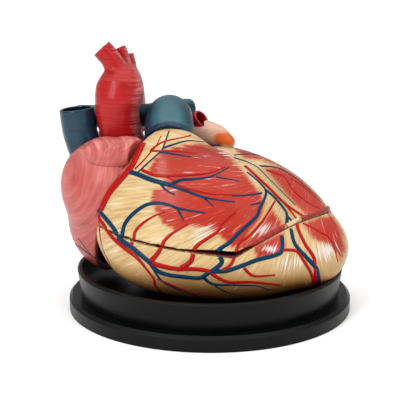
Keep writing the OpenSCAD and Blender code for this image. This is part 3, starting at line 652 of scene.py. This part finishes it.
# %% How far a pixel lies inside a patch
def inside_outline(px, py, outline, soft):
    """1 inside an outline in pixels, falling to 0 across its edge."""
    corners = np.array(outline, float)
    nxt = np.roll(corners, -1, axis=0)
    inside = np.zeros(len(px), bool)
    near = np.full(len(px), 1e9)
    for (ax, ay), (bx, by) in zip(corners, nxt):
        crosses = ((ay > py) != (by > py)) & (px < (bx - ax) * (py - ay) / (by - ay + 1e-9) + ax)
        inside ^= crosses
        t = np.clip(((px - ax) * (bx - ax) + (py - ay) * (by - ay)) / ((bx - ax) ** 2 + (by - ay) ** 2), 0, 1)
        near = np.minimum(near, np.hypot(px - ax - t * (bx - ax), py - ay - t * (by - ay)))
    return smooth_step(0.5 + np.where(inside, near, -near) / (2 * soft))


def blotch(px, py, spot):
    (cx, cy), wide, high, tilt = spot
    a = math.radians(tilt)
    u = (px - cx) * math.cos(a) + (py - cy) * math.sin(a)
    v = (py - cy) * math.cos(a) - (px - cx) * math.sin(a)
    return np.exp(-((u / wide) ** 2) - (v / high) ** 2)


# %% The masks of the ventricles
muscle_soft_px, sheen_soft_px = 6.0, 5.0
fibre_focus = (80.0, 135.0)  # x and z of the place that the fibres run to
fibre_radius = 75  # mm of stroke spacing per radian round it
fat_groove, fat_groove_soft = 5, 12  # half the width of the fat along the septum's groove, and its edge
base_fat, base_fat_soft = 12, 22  # how far from the base the muscle starts at the back, and its edge
warm_below, warm_soft = 80, 50  # the fat turns to orange below this height
deep_row, deep_soft = 205, 60  # the row in the photograph where the muscle is lightest
# half width of the painted shadow that widens the dark gap along the parting line
seam_shadow = 0.9  # mm


def ventricle_masks(obj):
    co, normal, _ = mesh_arrays(obj.data)
    px, py = to_photo(co)
    front = smooth_step((-(normal @ look) + 0.02) / 0.2)
    value = ventricle_value(co)
    inside = smooth_step((-value - 0.8) / 0.8)
    red = np.zeros(len(co))
    for outline in muscle_patches:
        red = np.maximum(red, inside_outline(px, py, outline, muscle_soft_px))
    right, left = right_value(co), left_value(co)
    depth = (co - base_point) @ base_dir
    back_red = smooth_step((np.abs(right - left) - fat_groove) / fat_groove_soft)
    back_red *= smooth_step((depth - base_fat) / base_fat_soft)
    back_red *= smooth_step((co[:, 2] - 45) / 22)
    red = front * red + (1 - front) * 0.92 * back_red
    pale = sum(blotch(px, py, spot) for spot in pale_blotches)
    # white blotches of paint, plus the painted sheen along the rim
    pale = front * np.clip(pale + 0.5 * inside_outline(px, py, rim_sheen, sheen_soft_px), 0, 1)
    warm = smooth_step((warm_below - co[:, 2]) / warm_soft)
    deep = red * smooth_step((np.abs(py - deep_row) - 5) / deep_soft)
    seam = above_seam(co) * np.linalg.norm(co - crease, axis=1) * math.pi / 180
    # painted shadow along the parting line, on the outer skin only
    groove = np.exp(-((seam / seam_shadow) ** 2)) * (inside < 0.5)
    dx, dz = fibre_focus[0] - co[:, 0], co[:, 2] - fibre_focus[1]
    across = fibre_radius * np.arctan2(dz, dx) + 0.12 * co[:, 1]
    grain = np.stack([np.hypot(dx, dz), across, co[:, 1]], axis=1)
    masks = {"red": red, "pale": pale, "warm": warm, "deep": deep}
    return {**masks, "groove": groove, "inside": inside, "grain": grain}


# %% Build both halves
lower_half = moulded("ventricles_lower", "ventricle_body", 1.5, [(ventricle_value, 0.0, 1.0, 5.0)])
front_wall = moulded("ventricles_front", "front_cover", 1.5, [(ventricle_value, 0.0, 1.0, 5.0)])
dress(lower_half, "ventricle_body", "base", ventricle_paint, "fat_yellow", ventricle_masks(lower_half))
dress(front_wall, "front_cover", "cover", ventricle_paint, "muscle_red", ventricle_masks(front_wall))

# %% The mounds that the cords are tied to, inside the chambers
papillaries = moulded("papillary_mounds", "papillary_muscles", 0.9, [], 8)
co, _, _ = mesh_arrays(papillaries.data)
flat = np.zeros(len(co))
masks = {"red": flat + 1, "pale": flat, "warm": flat, "deep": flat + 0.4, "groove": flat, "inside": flat}
masks["grain"] = np.stack([co[:, 2], co[:, 0] + co[:, 1], co[:, 1]], axis=1)
dress(papillaries, "papillary_muscles", "base", ventricle_paint, "muscle_red", masks)

# %% [markdown]
# ## The atria and auricles
#
# The atria are thin pink sacks, and each has an auricle, a wrinkled ear, in front. The ears
# could be cast with them, but they are pieces of their own in the frame, so each is smoothed
# alone and the creases are pressed into both where they meet. A sack's outside and its room
# are two forms, 4.5 mm apart, so its wall keeps its thickness when it is settled.

# %% Masks of the soft sections, and their rooms
atrium_wall = 4.5


def soft_masks(obj, form, across, along, **more):
    co, normal, _ = mesh_arrays(obj.data)
    inside = smooth_step((-form(co) - 0.8) / 0.8)
    grain = np.stack([co @ np.array(along, float), co @ np.array(across, float), co[:, 1]], axis=1)
    blank = np.zeros(len(co))
    masks = {"inside": inside, "groove": blank, "pale": blank, "deep": blank, "warm": blank, "grain": grain}
    return {**masks, **{name: value(co, normal) for name, value in more.items()}}


def right_room(p):
    return right_atrium_value(p, 2.0) + atrium_wall


def left_room(p):
    return left_atrium_value(p, 2.0) + atrium_wall


def right_auricle_value(p):
    return lobes(p, right_auricle_lobes, 3.0)


def left_auricle_value(p):
    return lobes(p, left_auricle_lobes, 3.0)


# %% Creases between the lobes of the right auricle, as routes in the photograph
auricle_creases = [
    [(124, 141), (119, 143), (112, 146), (108, 153)],
    [(127, 137), (124, 141), (122, 145)],
    [(124, 141), (116, 150), (110, 160)],
]
crease_width, crease_depth = 1.8, 1.3


def crease_lines(form, routes):
    return [from_photo(spline(route, 8), form) for route in routes]


def near_lines(co, lines, width):
    """1 on the lines, falling off over their width."""
    gap = np.min([np.linalg.norm(co[:, None] - line[None], axis=2).min(axis=1) for line in lines], axis=0)
    return np.exp(-((gap / width) ** 2))


def press_in(obj, lines, width, depth):
    """Sinks soft creases into a piece."""
    co, normal, _ = mesh_arrays(obj.data)
    co = co - (depth * near_lines(co, lines, width))[:, None] * normal
    obj.data.vertices.foreach_set("co", (co * MM).astype(np.float32).ravel())
    obj.data.update()


right_skins = [(right_atrium_value, 0, 1, 4), (right_room, 0, -1, 4)]
right_atrium = moulded("right_atrium_skin", "right_atrium", 1.4, right_skins)
creases = crease_lines(lambda p: np.minimum(right_atrium_value(p), right_auricle_value(p)), auricle_creases)
right_auricle = moulded("right_auricle_skin", "right_auricle", 1.0, [(right_auricle_value, 0, 1, 4)])
for piece in (right_atrium, right_auricle):
    press_in(piece, creases, crease_width, crease_depth)

# %% Paint of the right atrium and its auricle
pink_across, pink_along = (0.85, 0.45, -0.3), (0.3, 0.0, 0.95)


def atrium_top_light(co, normal):
    """Painted light: lighter paint on what faces up, from the atrium's foot to its top."""
    return 0.6 * smooth_step((co[:, 2] - 60) / 90) * smooth_step((normal[:, 2] + 0.1) / 0.9)


def atrium_crease_shade_and_dark_foot(co, normal):
    """Painted shade in the creases, and darker paint near the foot."""
    foot = smooth_step((70 - co[:, 2]) / 40)
    return np.clip(foot + 0.8 * near_lines(co, creases, 2.2), 0, 1)


for piece, node, form in (
    (right_atrium, "right_atrium", right_atrium_value),
    (right_auricle, "right_auricle", right_auricle_value),
):
    masks = soft_masks(piece, form, pink_across, pink_along, pale=atrium_top_light, deep=atrium_crease_shade_and_dark_foot)
    if node == "right_auricle":
        masks["inside"] = np.zeros(len(masks["pale"]))  # it is solid
        masks["warm"] = 0.55 * smooth_step((mesh_arrays(piece.data)[0][:, 0] + 68) / 12)
    dress(piece, node, "crown", atrium_paint, "atrium_pink", masks)

# %% The left atrium and its auricle
left_skins = [(left_atrium_value, 0, 1, 4), (left_room, 0, -1, 4)]
left_atrium = moulded("left_atrium_skin", "left_atrium", 1.4, left_skins)
masks = soft_masks(left_atrium, left_atrium_value, pink_across, pink_along, pale=atrium_top_light)
dress(left_atrium, "left_atrium", "crown", atrium_paint, "atrium_pink", masks)
left_auricle = moulded("left_auricle_skin", "left_auricle", 0.9, [(left_auricle_value, 0, 1, 4)])
orange_tips = [((220, 139), 6, 6, 0), ((229, 139), 6, 6, 0)]  # two small lobes, in the photograph


def tip_warm(co, normal):
    return np.clip(1.5 * sum(blotch(*to_photo(co), tip) for tip in orange_tips), 0, 1)


masks = soft_masks(left_auricle, left_auricle_value, (0.2, 0.5, 1), (1, 0, 0), warm=tip_warm)
masks["inside"] = np.zeros(len(masks["pale"]))
dress(left_auricle, "left_auricle", "crown", auricle_paint, "auricle_peach", masks)

# %% [markdown]
# ## The great vessels
#
# The aorta and the pulmonary trunk fork, so they are smoothed copies of their nodes. The aorta
# isn't settled on its form: its cast rings swell a little past it in front, and settling would
# dent them. The caval veins and the pulmonary veins are plain open tubes. Such a tube could be
# a curve with a bevel, but its mouth would be a sharp cut, so a ring of vertices is extruded
# along the path, round the rim and back down the bore.

# %% The aorta
aorta_axis, ring_spacing = (-82, 12), 20  # x and y of its middle, and mm of stroke per radian
aorta_form = tubes([aorta_path, *arch_branches], 2.5)
aorta = moulded("aorta_tube", "aorta", 0.9, [], 12)


def aorta_grain(co, normal):
    """Strokes run round it, so they show as fine rings."""
    turn = np.arctan2(co[:, 1] - aorta_axis[1], co[:, 0] - aorta_axis[0])
    return np.stack([ring_spacing * turn, co[:, 2] + 0.05 * co[:, 0], 0 * turn], axis=1)


def aorta_side_sheen(co, normal):
    """A pale painted sheen down both sides, more on the right."""
    side = smooth_step((normal[:, 0] - 0.25) / 0.6) + 0.6 * smooth_step((-normal[:, 0] - 0.6) / 0.4)
    return np.clip(0.85 * side * smooth_step((co[:, 2] - 118) / 40), 0, 1)


def faces_bore(co, normal):
    """1 where a face looks into the tube, which is against the form's slope."""
    return smooth_step((-0.2 - (normal * slope(aorta_form, co)).sum(axis=1)) / 0.4)


own_masks = {"pale": aorta_side_sheen, "grain": aorta_grain, "inside": faces_bore}
masks = soft_masks(aorta, aorta_form, (0, 0, 1), (1, 0, 0), **own_masks)
dress(aorta, "aorta", "crown", aorta_paint, "artery_red", masks)

# %% The pulmonary trunk, with a dark blue band round its foot
band_top, band_soft = 9.5, 3.5
# painted light: the trunk is painted lighter on the side that faces this way
trunk_lit_way = unit([-0.05, -0.45, 0.9])  # the way its lighter side faces
trunk_form = tubes([trunk_path, *pulmonary_branches], 2.5)
trunk_skins = [(trunk_form, 0, 1, 1.6), (trunk_form, -vessel_wall, -1, 1.6)]
trunk = moulded("pulmonary_trunk_tube", "pulmonary_trunk", 1.1, trunk_skins)


def trunk_rim(co, normal):
    return smooth_step((band_top - (co - trunk_root) @ trunk_dir) / band_soft)


# painted light on the side that faces up and forward
def trunk_lit_side(co, normal):
    return smooth_step((normal @ trunk_lit_way - 0.35) / 0.6)


masks = soft_masks(trunk, trunk_form, (0.2, 0.6, 0.8), (1, 0, 0), deep=trunk_rim, pale=trunk_lit_side)
dress(trunk, "pulmonary_trunk", "crown", trunk_paint, "vein_blue", masks)


# %% Rings of vertices, extruded one after the other
def ring_edges(work, ring):
    return [work.edges.get(pair) for pair in zip(ring, ring[1:] + ring[:1])]


def first_ring(work, places):
    ring = bmesh.ops.create_circle(work, segments=len(places), radius=MM)["verts"]
    for vert, place in zip(ring, places):
        vert.co = place * MM
    return ring


def next_ring(work, ring, places):
    """Extrudes a ring, and moves the new one to its places."""
    grown = bmesh.ops.extrude_edge_only(work, edges=ring_edges(work, ring))["geom"]
    fresh = {part for part in grown if isinstance(part, bmesh.types.BMVert)}
    after = [next(e.other_vert(v) for e in v.link_edges if e.other_vert(v) in fresh) for v in ring]
    for vert, place in zip(after, places):
        vert.co = place * MM
    return after


# %% An open tube: out along the path, round the rim and back down the bore
tube_sides, tube_shy = 72, 0.15  # tube_shy keeps it inside the solid that it replaces
path_steps, rim_steps = 14, 9


def circle(p, along, side, radius):
    turns = 2 * math.pi * np.arange(tube_sides) / tube_sides
    return p + radius * (np.outer(np.cos(turns), side) + np.outer(np.sin(turns), np.cross(along, side)))


def open_tube(work, stations, wall, mouth_first):
    """Gives the share of inside per vertex."""
    rows = spline([(*point, radius) for point, radius in stations], path_steps)
    if mouth_first:
        rows = rows[::-1]
    path, radii = rows[:, :3], rows[:, 3] - tube_shy
    along = unit(np.gradient(path, axis=0))
    side = unit(np.cross(along, [0.3, 0.5, 0.8]))
    walk = list(zip(path, along, side, radii))
    last, a, s, r = walk[-1]
    rings = [(circle(*place), 0.0) for place in walk[:-2]]
    for turn in np.radians(np.linspace(0, 180, rim_steps)):  # the rim: half a circle of the wall
        half = wall / 2
        back = last - a * half + a * half * math.sin(turn)
        rings.append((circle(back, a, s, r - half + half * math.cos(turn)), float(turn > 2)))
    rings += [(circle(p, a, s, r - wall), 1.0) for p, a, s, r in walk[-3::-1]]
    ring = start = first_ring(work, rings[0][0])
    for places, _ in rings[1:]:
        ring = next_ring(work, ring, places)
    bmesh.ops.bridge_loops(work, edges=ring_edges(work, ring) + ring_edges(work, start))
    return [share for _, share in rings for _ in range(tube_sides)]


# %% The caval veins and the pulmonary veins
vein_wall = 0.8 * vessel_wall
for name, node, runs, wall, mouth_first, paint, finish in (
    ("superior_cava_tube", "superior_vena_cava", [svc], vessel_wall, True, cava_paint, "vein_blue"),
    ("inferior_cava_tube", "inferior_vena_cava", [ivc], vessel_wall, False, cava_paint, "vein_blue"),
    ("pulmonary_vein_tubes", "pulmonary_veins", vein_runs, vein_wall, False, vein_red_paint, "artery_red"),
):
    work, shares = bmesh.new(), []
    for run in runs:
        shares += open_tube(work, run, wall, mouth_first)
    bmesh.ops.recalc_face_normals(work, faces=work.faces)
    mesh = bpy.data.meshes.new(name)
    work.to_mesh(mesh)
    work.free()
    mesh.shade_smooth()
    tube = bpy.data.objects.new(name, mesh)
    bpy.context.scene.collection.objects.link(tube)
    masks = soft_masks(tube, tubes(runs, 0.5), (0, 0, 1), (1, 0, 0))
    masks["inside"] = np.array(shares)
    dress(tube, node, "crown", paint, finish, masks)
    print(name, len(mesh.polygons), "faces")

# %% [markdown]
# ## The coronary vessels
#
# They are raised enamel lines, laid on with a fine tube once the heart is painted. They could
# be painted as one more coat, but real enamel stands proud and catches the light, so each is
# an oval ring extruded along its route. A run is a route, its width at the start and its width
# at the end, in the photograph's pixels. Runs at the back aren't in the photograph; their
# routes follow the usual anatomy, given as an angle round the base of the ventricles and a
# distance from it. Where a run crosses the parting line it is cut, so that each section keeps
# its own part of it.

# %% Routes in front, read off the photograph
arteries_front = [
    ([(143, 144), (137.6, 155), (130.6, 168), (119.6, 181), (109.6, 193), (102, 208)], 7.2, 6.4),
    ([(102, 208), (99, 217), (105, 227), (112, 237), (123, 247), (135, 256), (140, 261)], 4, 3),
    ([(140, 261), (148, 271), (154, 279), (155, 285), (161, 292), (167, 296)], 2.5, 1.5),
    ([(152, 263), (161, 266), (177, 269), (192, 269), (208, 271), (215, 276), (229, 282), (251, 282),
       (280, 285)], 4, 2),
    ([(157, 279), (165, 282), (184, 290), (205, 295), (229, 299)], 1.8, 1.2),
    ([(99, 220), (100, 235), (103, 249), (108, 260), (112, 267)], 2.2, 1.2),
    ([(131, 245), (134, 238), (135, 232), (142, 224), (154, 216), (165, 212)], 3.2, 1),
    ([(151, 261), (158, 253), (162, 246), (165, 240), (173, 233), (188, 224)], 4, 1.2),
    ([(181, 268), (191, 261), (194, 250), (198, 245), (205, 240), (217, 232), (223, 223), (236, 212)],
      4, 1.4),
    ([(223, 270), (232, 263), (239, 244), (249, 236), (261, 223), (269, 211), (275, 201)], 2.6, 1.6),
    ([(244, 268), (254, 276), (275, 275)], 2.6, 1.4),
    ([(245, 166), (256, 176), (270, 189), (283, 202), (295, 211), (306, 218)], 3.6, 3),
    ([(283, 202), (292, 213), (297, 220)], 2.6, 2),
    ([(266, 170), (283, 176), (288, 182), (295, 192), (310, 204), (320, 208)], 2.6, 1.2),
    ([(291, 178), (305, 188), (321, 202), (325, 209), (336, 226)], 2, 1.2),
    ([(237, 152), (254, 151)], 1.5, 0.8),
    ([(297, 222), (298, 229), (305, 244), (313, 256), (315, 265), (316, 288)], 3, 3),
    ([(282, 250), (296, 251), (303, 260), (311, 273), (315, 287)], 2.4, 2.6),
    ([(142, 170), (154, 175), (166, 176), (189, 175), (208, 173), (225, 167)], 2.8, 1.4),
    ([(167, 177), (174, 181)], 1.4, 0.8),
    ([(176, 185), (189, 189), (212, 194), (240, 195)], 1.8, 1),
    ([(135, 169), (143, 161), (151, 152), (156, 146), (161, 136)], 1.8, 0.9),
    ([(151, 150), (163, 142), (185, 137), (191, 135)], 2, 1.2),
    ([(150, 151), (174, 151), (196, 153)], 1.8, 1),
    ([(303, 223), (318, 231), (331, 240), (338, 262)], 1.8, 1),
]
veins_front = [
    ([(97, 209), (106, 219), (114, 229), (120, 239), (131, 247), (142, 256), (150, 263), (156, 270),
       (169, 275), (196, 278), (203, 277)], 4.2, 3.4),
    ([(150, 263), (161, 280), (177, 289), (200, 297)], 2.2, 1.2),
    ([(122, 240), (123, 230), (126, 222), (134, 213), (146, 205), (158, 203), (169, 205), (177, 208),
       (192, 211), (205, 213)], 4, 1.2),
    ([(177, 208), (184, 221)], 2, 1),
    ([(203, 277), (211, 272), (226, 271), (244, 265), (257, 260), (276, 255), (282, 250), (282, 236)],
     3.4, 3),
    ([(211, 272), (222, 262), (217, 252), (229, 243), (236, 236), (241, 231), (256, 217), (260, 208),
       (266, 193), (260, 183), (247, 172)], 3.6, 1.8),
    ([(203, 277), (213, 284), (236, 285), (257, 286), (270, 290)], 2.8, 1),
    ([(215, 286), (229, 293), (246, 296)], 1.6, 1),
    ([(126, 171), (137, 174), (152, 180), (170, 185)], 4, 3.4),
    ([(170, 185), (181, 180), (196, 179), (212, 176), (229, 167)], 3, 1),
    ([(216, 177), (240, 181)], 1.6, 0.9),
    ([(170, 185), (189, 192), (203, 197), (219, 200), (235, 202)], 2.8, 1),
    ([(203, 197), (214, 207)], 1.6, 0.9),
    ([(160, 183), (166, 190), (175, 195)], 2.2, 1),
    ([(137, 173), (149, 162), (160, 152), (163, 148), (169, 131)], 1.6, 1.2),
    ([(163, 148), (186, 141), (204, 142)], 2, 0.9),
    ([(160, 152), (174, 154), (191, 157)], 2, 0.9),
    ([(234, 158), (247, 162), (258, 168), (270, 180), (283, 193), (295, 205)], 2.6, 1),
    ([(234, 155), (250, 154), (272, 157)], 1.8, 1),
    ([(260, 166), (278, 168), (294, 177), (310, 190), (323, 201)], 2.2, 1),
    ([(266, 190), (275, 198), (284, 209), (287, 216), (286, 228)], 2.6, 3),
    ([(287, 216), (294, 223)], 2.2, 2.6),
    ([(291, 229), (295, 244), (307, 258), (317, 270), (319, 288)], 3, 3.6),
    ([(232, 196), (248, 195), (262, 193)], 1.2, 1.6),
    ([(250, 205), (260, 203)], 1, 1.4),
]
atrium_lines = [
    ([(66, 240), (75, 244), (88, 253), (101, 262), (110, 268)], 1.5, 1.2),
    ([(78, 238), (87, 250), (91, 255)], 1.2, 0.8),
]


# %% Lay the runs
def lay_out(points, form):
    """Settles a run's points on the surface; gives them, and the way out at each."""
    points = points + 0.0
    for _ in range(3):
        out = slope(form, points)
        points -= (form(points) / (out**2).sum(axis=1))[:, None] * out
    return points, unit(slope(form, points))


# %% A raised line
line_sides = 8


def sweep(work, points, out, halves, sink=0.1, high=0.6):
    """A raised line: an oval ring, extruded along the surface and closed at both ends."""
    along = unit(np.gradient(points, axis=0))
    side = unit(np.cross(along, out))
    turns = 2 * math.pi * np.arange(line_sides) / line_sides
    ring = start = None
    for p, o, s, h in zip(points, out, side, halves):
        places = p + np.outer(np.cos(turns) * h, s) + np.outer((np.sin(turns) * high - sink) * h, o)
        ring = next_ring(work, ring, places) if ring else first_ring(work, places)
        start = start or ring
    bmesh.ops.holes_fill(work, edges=ring_edges(work, start) + ring_edges(work, ring))


def piece_from(work, name, material, finish, body):
    bmesh.ops.recalc_face_normals(work, faces=work.faces)
    mesh = bpy.data.meshes.new(name)
    work.to_mesh(mesh)
    work.free()
    mesh.shade_smooth()
    mesh.materials.append(material)
    obj = bpy.data.objects.new(name, mesh)
    bpy.context.scene.collection.objects.link(obj)
    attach(obj, body)
    return obj


# %% Spacing along a run, and its parts on either side of the parting line
line_scale = 1.24  # mm of line for each pixel of its width: a pixel there is 0.87 mm, and paint spreads
run_spacing = 1.6  # pixels


def run_points(route):
    """Pixels of a route, evenly spaced."""
    dense = spline(route, 24)
    length = np.concatenate([[0], np.cumsum(np.linalg.norm(np.diff(dense, axis=0), axis=1))])
    count = max(4, int(length[-1] / run_spacing))
    marks = np.linspace(0, length[-1], count)
    return np.stack([np.interp(marks, length, dense[:, k]) for k in (0, 1)], axis=1)


def split_runs(points, out, halves):
    """Cuts a run where it crosses the parting line; gives (body, points, out, halves)."""
    d = points - crease
    height = above_seam(points)
    open_to = notch(np.degrees(np.arctan2(d[:, 1], d[:, 0])))
    place = np.where(height < 0, 0, np.where(height > open_to, 2, 1))
    cuts = [0, *(np.flatnonzero(place[1:] != place[:-1]) + 1), len(points)]
    for a, b in zip(cuts, cuts[1:]):
        if b - a > 2 and place[a] != 1:  # 1 is over the open notch
            yield ("cover" if place[a] == 2 else "base"), points[a:b], out[a:b], halves[a:b]


# %% Runs at the back
halvings = 24


def outwards(middle, ways, far):
    """Where rays from inside the ventricles come out, found by halving."""
    low, high = np.zeros(len(ways)), np.full(len(ways), far)
    for _ in range(halvings):
        mid = (low + high) / 2
        inner = ventricle_value(middle + mid[:, None] * ways) < 0
        low, high = np.where(inner, mid, low), np.where(inner, high, mid)
    return middle + low[:, None] * ways


def round_base(stations, steps=10):
    """A run through stations of (angle, distance from the base), on the surface."""
    angle, depth = spline(stations, steps).T
    a = np.radians(angle)[:, None]
    ways = base_side * np.sin(a) - base_up * np.cos(a)
    return outwards(base_at(*plate_mid) + depth[:, None] * base_dir, ways, 150.0)


arteries_back = [
    ([(150, 6), (120, 5), (90, 5), (60, 5), (35, 6)], 4, 2.5),
    ([(128, 5), (120, 30), (112, 60), (108, 90)], 2.6, 1.2),
    ([(98, 5), (92, 35), (88, 65), (86, 95)], 2.6, 1.2),
    ([(66, 5), (62, 30), (60, 60)], 2.2, 1),
    ([(8, 5), (20, 22), (34, 50), (46, 80), (54, 104)], 3, 1.6),
    ([(34, 50), (24, 66), (20, 80)], 1.8, 1),
]
veins_back = [
    ([(146, 11), (118, 10), (90, 10), (60, 10), (30, 10), (12, 9)], 4, 6),
    ([(18, 12), (26, 28), (40, 56), (50, 84)], 3, 1.6),
    ([(114, 11), (106, 40), (100, 72)], 2.4, 1),
    ([(80, 10), (76, 40), (72, 70)], 2.4, 1),
]
print("runs at the back:", len(arteries_back), "arteries,", len(veins_back), "veins")

# %% Lay the arteries and veins on the ventricles, and two veins on the right atrium
for label, front, back, material, finish in (
    ("artery", arteries_front, arteries_back, artery_line, "artery_red"),
    ("vein", veins_front, veins_back, vein_line, "vein_blue"),
):
    works = {"cover": bmesh.new(), "base": bmesh.new()}
    routes = [(from_photo(run_points(route), ventricle_value), start, end) for route, start, end in front]
    routes += [(round_base(stations), start, end) for stations, start, end in back]
    for points, start, end in routes:
        points, out = lay_out(points, ventricle_value)
        halves = np.linspace(start, end, len(points)) * line_scale / 2
        for body, *run in split_runs(points, out, halves):
            sweep(works[body], *run)
    for body, work in works.items():
        piece = piece_from(work, f"{label}_lines_{body}", material, finish, body)
        print(piece.name, len(piece.data.polygons), "faces")

work = bmesh.new()
for route, start, end in atrium_lines:
    points, out = lay_out(from_photo(run_points(route), right_atrium_value), right_atrium_value)
    sweep(work, points, out, np.linspace(start, end, len(points)) * line_scale / 2)
piece = piece_from(work, "vein_lines_crown", vein_line, "vein_blue", "crown")
print(piece.name, len(piece.data.polygons), "faces")

# %% [markdown]
# The front wall's edge is rolled over into a lip, from where the two sections gape to the left
# side of the heart. It could be bevelled on the wall, but the remeshed edge is too fine for
# that, so it is one more oval ring, extruded just above the parting line.

# %% The rounded lip along the front wall's edge
lip_cream_px = 293  # where the fat of the groove crosses the lip, in the photograph
lip_from, lip_to, lip_count = -84, 17, 114  # degrees round the crease, and stations
lip_above, lip_thin, lip_half = 1.6, 0.4, 2.1  # degrees above the notch, and half widths in mm
azimuths = np.linspace(lip_from, lip_to, lip_count)
heights = np.radians(seam_elevation(azimuths) + notch(azimuths) + lip_above)
azimuths = np.radians(azimuths)
level = np.cos(heights)
ways = np.stack([np.cos(azimuths) * level, np.sin(azimuths) * level, np.sin(heights)], axis=1)
points = outwards(crease, ways, 160.0)
out = unit(slope(ventricle_value, points))
fade = smooth_step((np.arange(lip_count) + 3) / 25) * smooth_step((lip_count + 2 - np.arange(lip_count)) / 8)
work = bmesh.new()
sweep(work, points, out, lip_thin + lip_half * fade, sink=0.3, high=0.9)
lip = piece_from(work, "front_wall_lip", lip_paint, "muscle_red", "cover")
co, _, _ = mesh_arrays(lip.data)
store(lip.data, "pale", np.exp(-(((to_photo(co)[0] - lip_cream_px) / 8) ** 2)))
store(lip.data, "grain", co)
print(lip.name, len(lip.data.polygons), "faces")

# %% [markdown]
# ## The fittings and the stand
#
# The stand is one moulding with a turned profile, and the fittings are turned or cut. Their
# CAD shapes are right as they are, so they only take materials. The ring plate that the valves
# sit in is painted flesh red, so that no pale edge shows between the atria and the ventricles.

# %% Materials for the CAD nodes that stay
kept = {
    "stand_dish": stand_abs, "stand_screws": steel, "threaded_inserts": brass,
    "valve_plate": plate_pvc, "tricuspid_valve": valve_pvc, "mitral_valve": valve_pvc,
    "tendinous_cords": valve_pvc, "aortic_valve": valve_pvc, "pulmonary_valve": valve_pvc,
    "seam_pegs": steel, "seam_magnets": steel, "crown_pegs": steel, "cover_magnets": steel,
    "cover_sleeves": brass, "crown_sleeves": brass,
}
for node, material in kept.items():
    nodes[node].data.materials.clear()
    nodes[node].data.materials.append(material)
print("CAD nodes that stay:", len(kept))

# %% [markdown]
# ## Floor and light
#
# The photograph has a pure white ground, a broad light from above and a soft shine from the
# left. A backdrop could be bent up behind the model, but one wide pale floor under a white sky
# gives the same even ground from every side, and a soft shadow under the stand.

# %% The floor
floor_mesh = bpy.data.meshes.new("floor")
work = bmesh.new()
bmesh.ops.create_grid(work, x_segments=1, y_segments=1, size=12.0)
work.to_mesh(floor_mesh)
work.free()
floor = bpy.data.objects.new("floor", floor_mesh)
# matt paper: it gives the eye nothing but the shadow
floor.data.materials.append(plain("pale_floor", "#f3f3f2", "#f6f6f5", 3, (0.85, 0.95), 0.0))
bpy.context.scene.collection.objects.link(floor)
print("floor:", len(floor_mesh.polygons), "face")

# %% The studio's light
world = bpy.data.worlds.new("studio")
world.use_nodes = True
background = world.node_tree.nodes["Background"]
background.inputs["Color"].default_value = (1, 1, 1, 1)
background.inputs["Strength"].default_value = 0.5
bpy.context.scene.world = world

softboxes = [
    ("key", (-0.75, -1.15, 0.95), (0.45, 0.8), 12),
    ("fill", (1.1, -0.9, 0.8), (0.8, 0.8), 4),
]
# the studio's white ceiling, which whitens the floor as well
ceiling = bpy.data.lights.new("ceiling", "SUN")
ceiling.energy, ceiling.angle = 2.1, math.radians(90)
bpy.context.scene.collection.objects.link(bpy.data.objects.new("ceiling", ceiling))

aim = np.array([-0.01, -0.01, 0.11])
for name, place, size, power in softboxes:
    lamp = bpy.data.lights.new(name, "AREA")
    lamp.shape, lamp.size, lamp.size_y, lamp.energy = "RECTANGLE", size[0], size[1], power
    box = bpy.data.objects.new(name, lamp)
    box.location = place
    towards = unit(aim - np.array(place))
    yaw = math.atan2(towards[0], towards[1])
    box.rotation_euler = (math.acos(-towards[2]), 0, -yaw)
    bpy.context.scene.collection.objects.link(box)
    print(name, power, "W")
bpy.context.scene.view_settings.view_transform = "Standard"
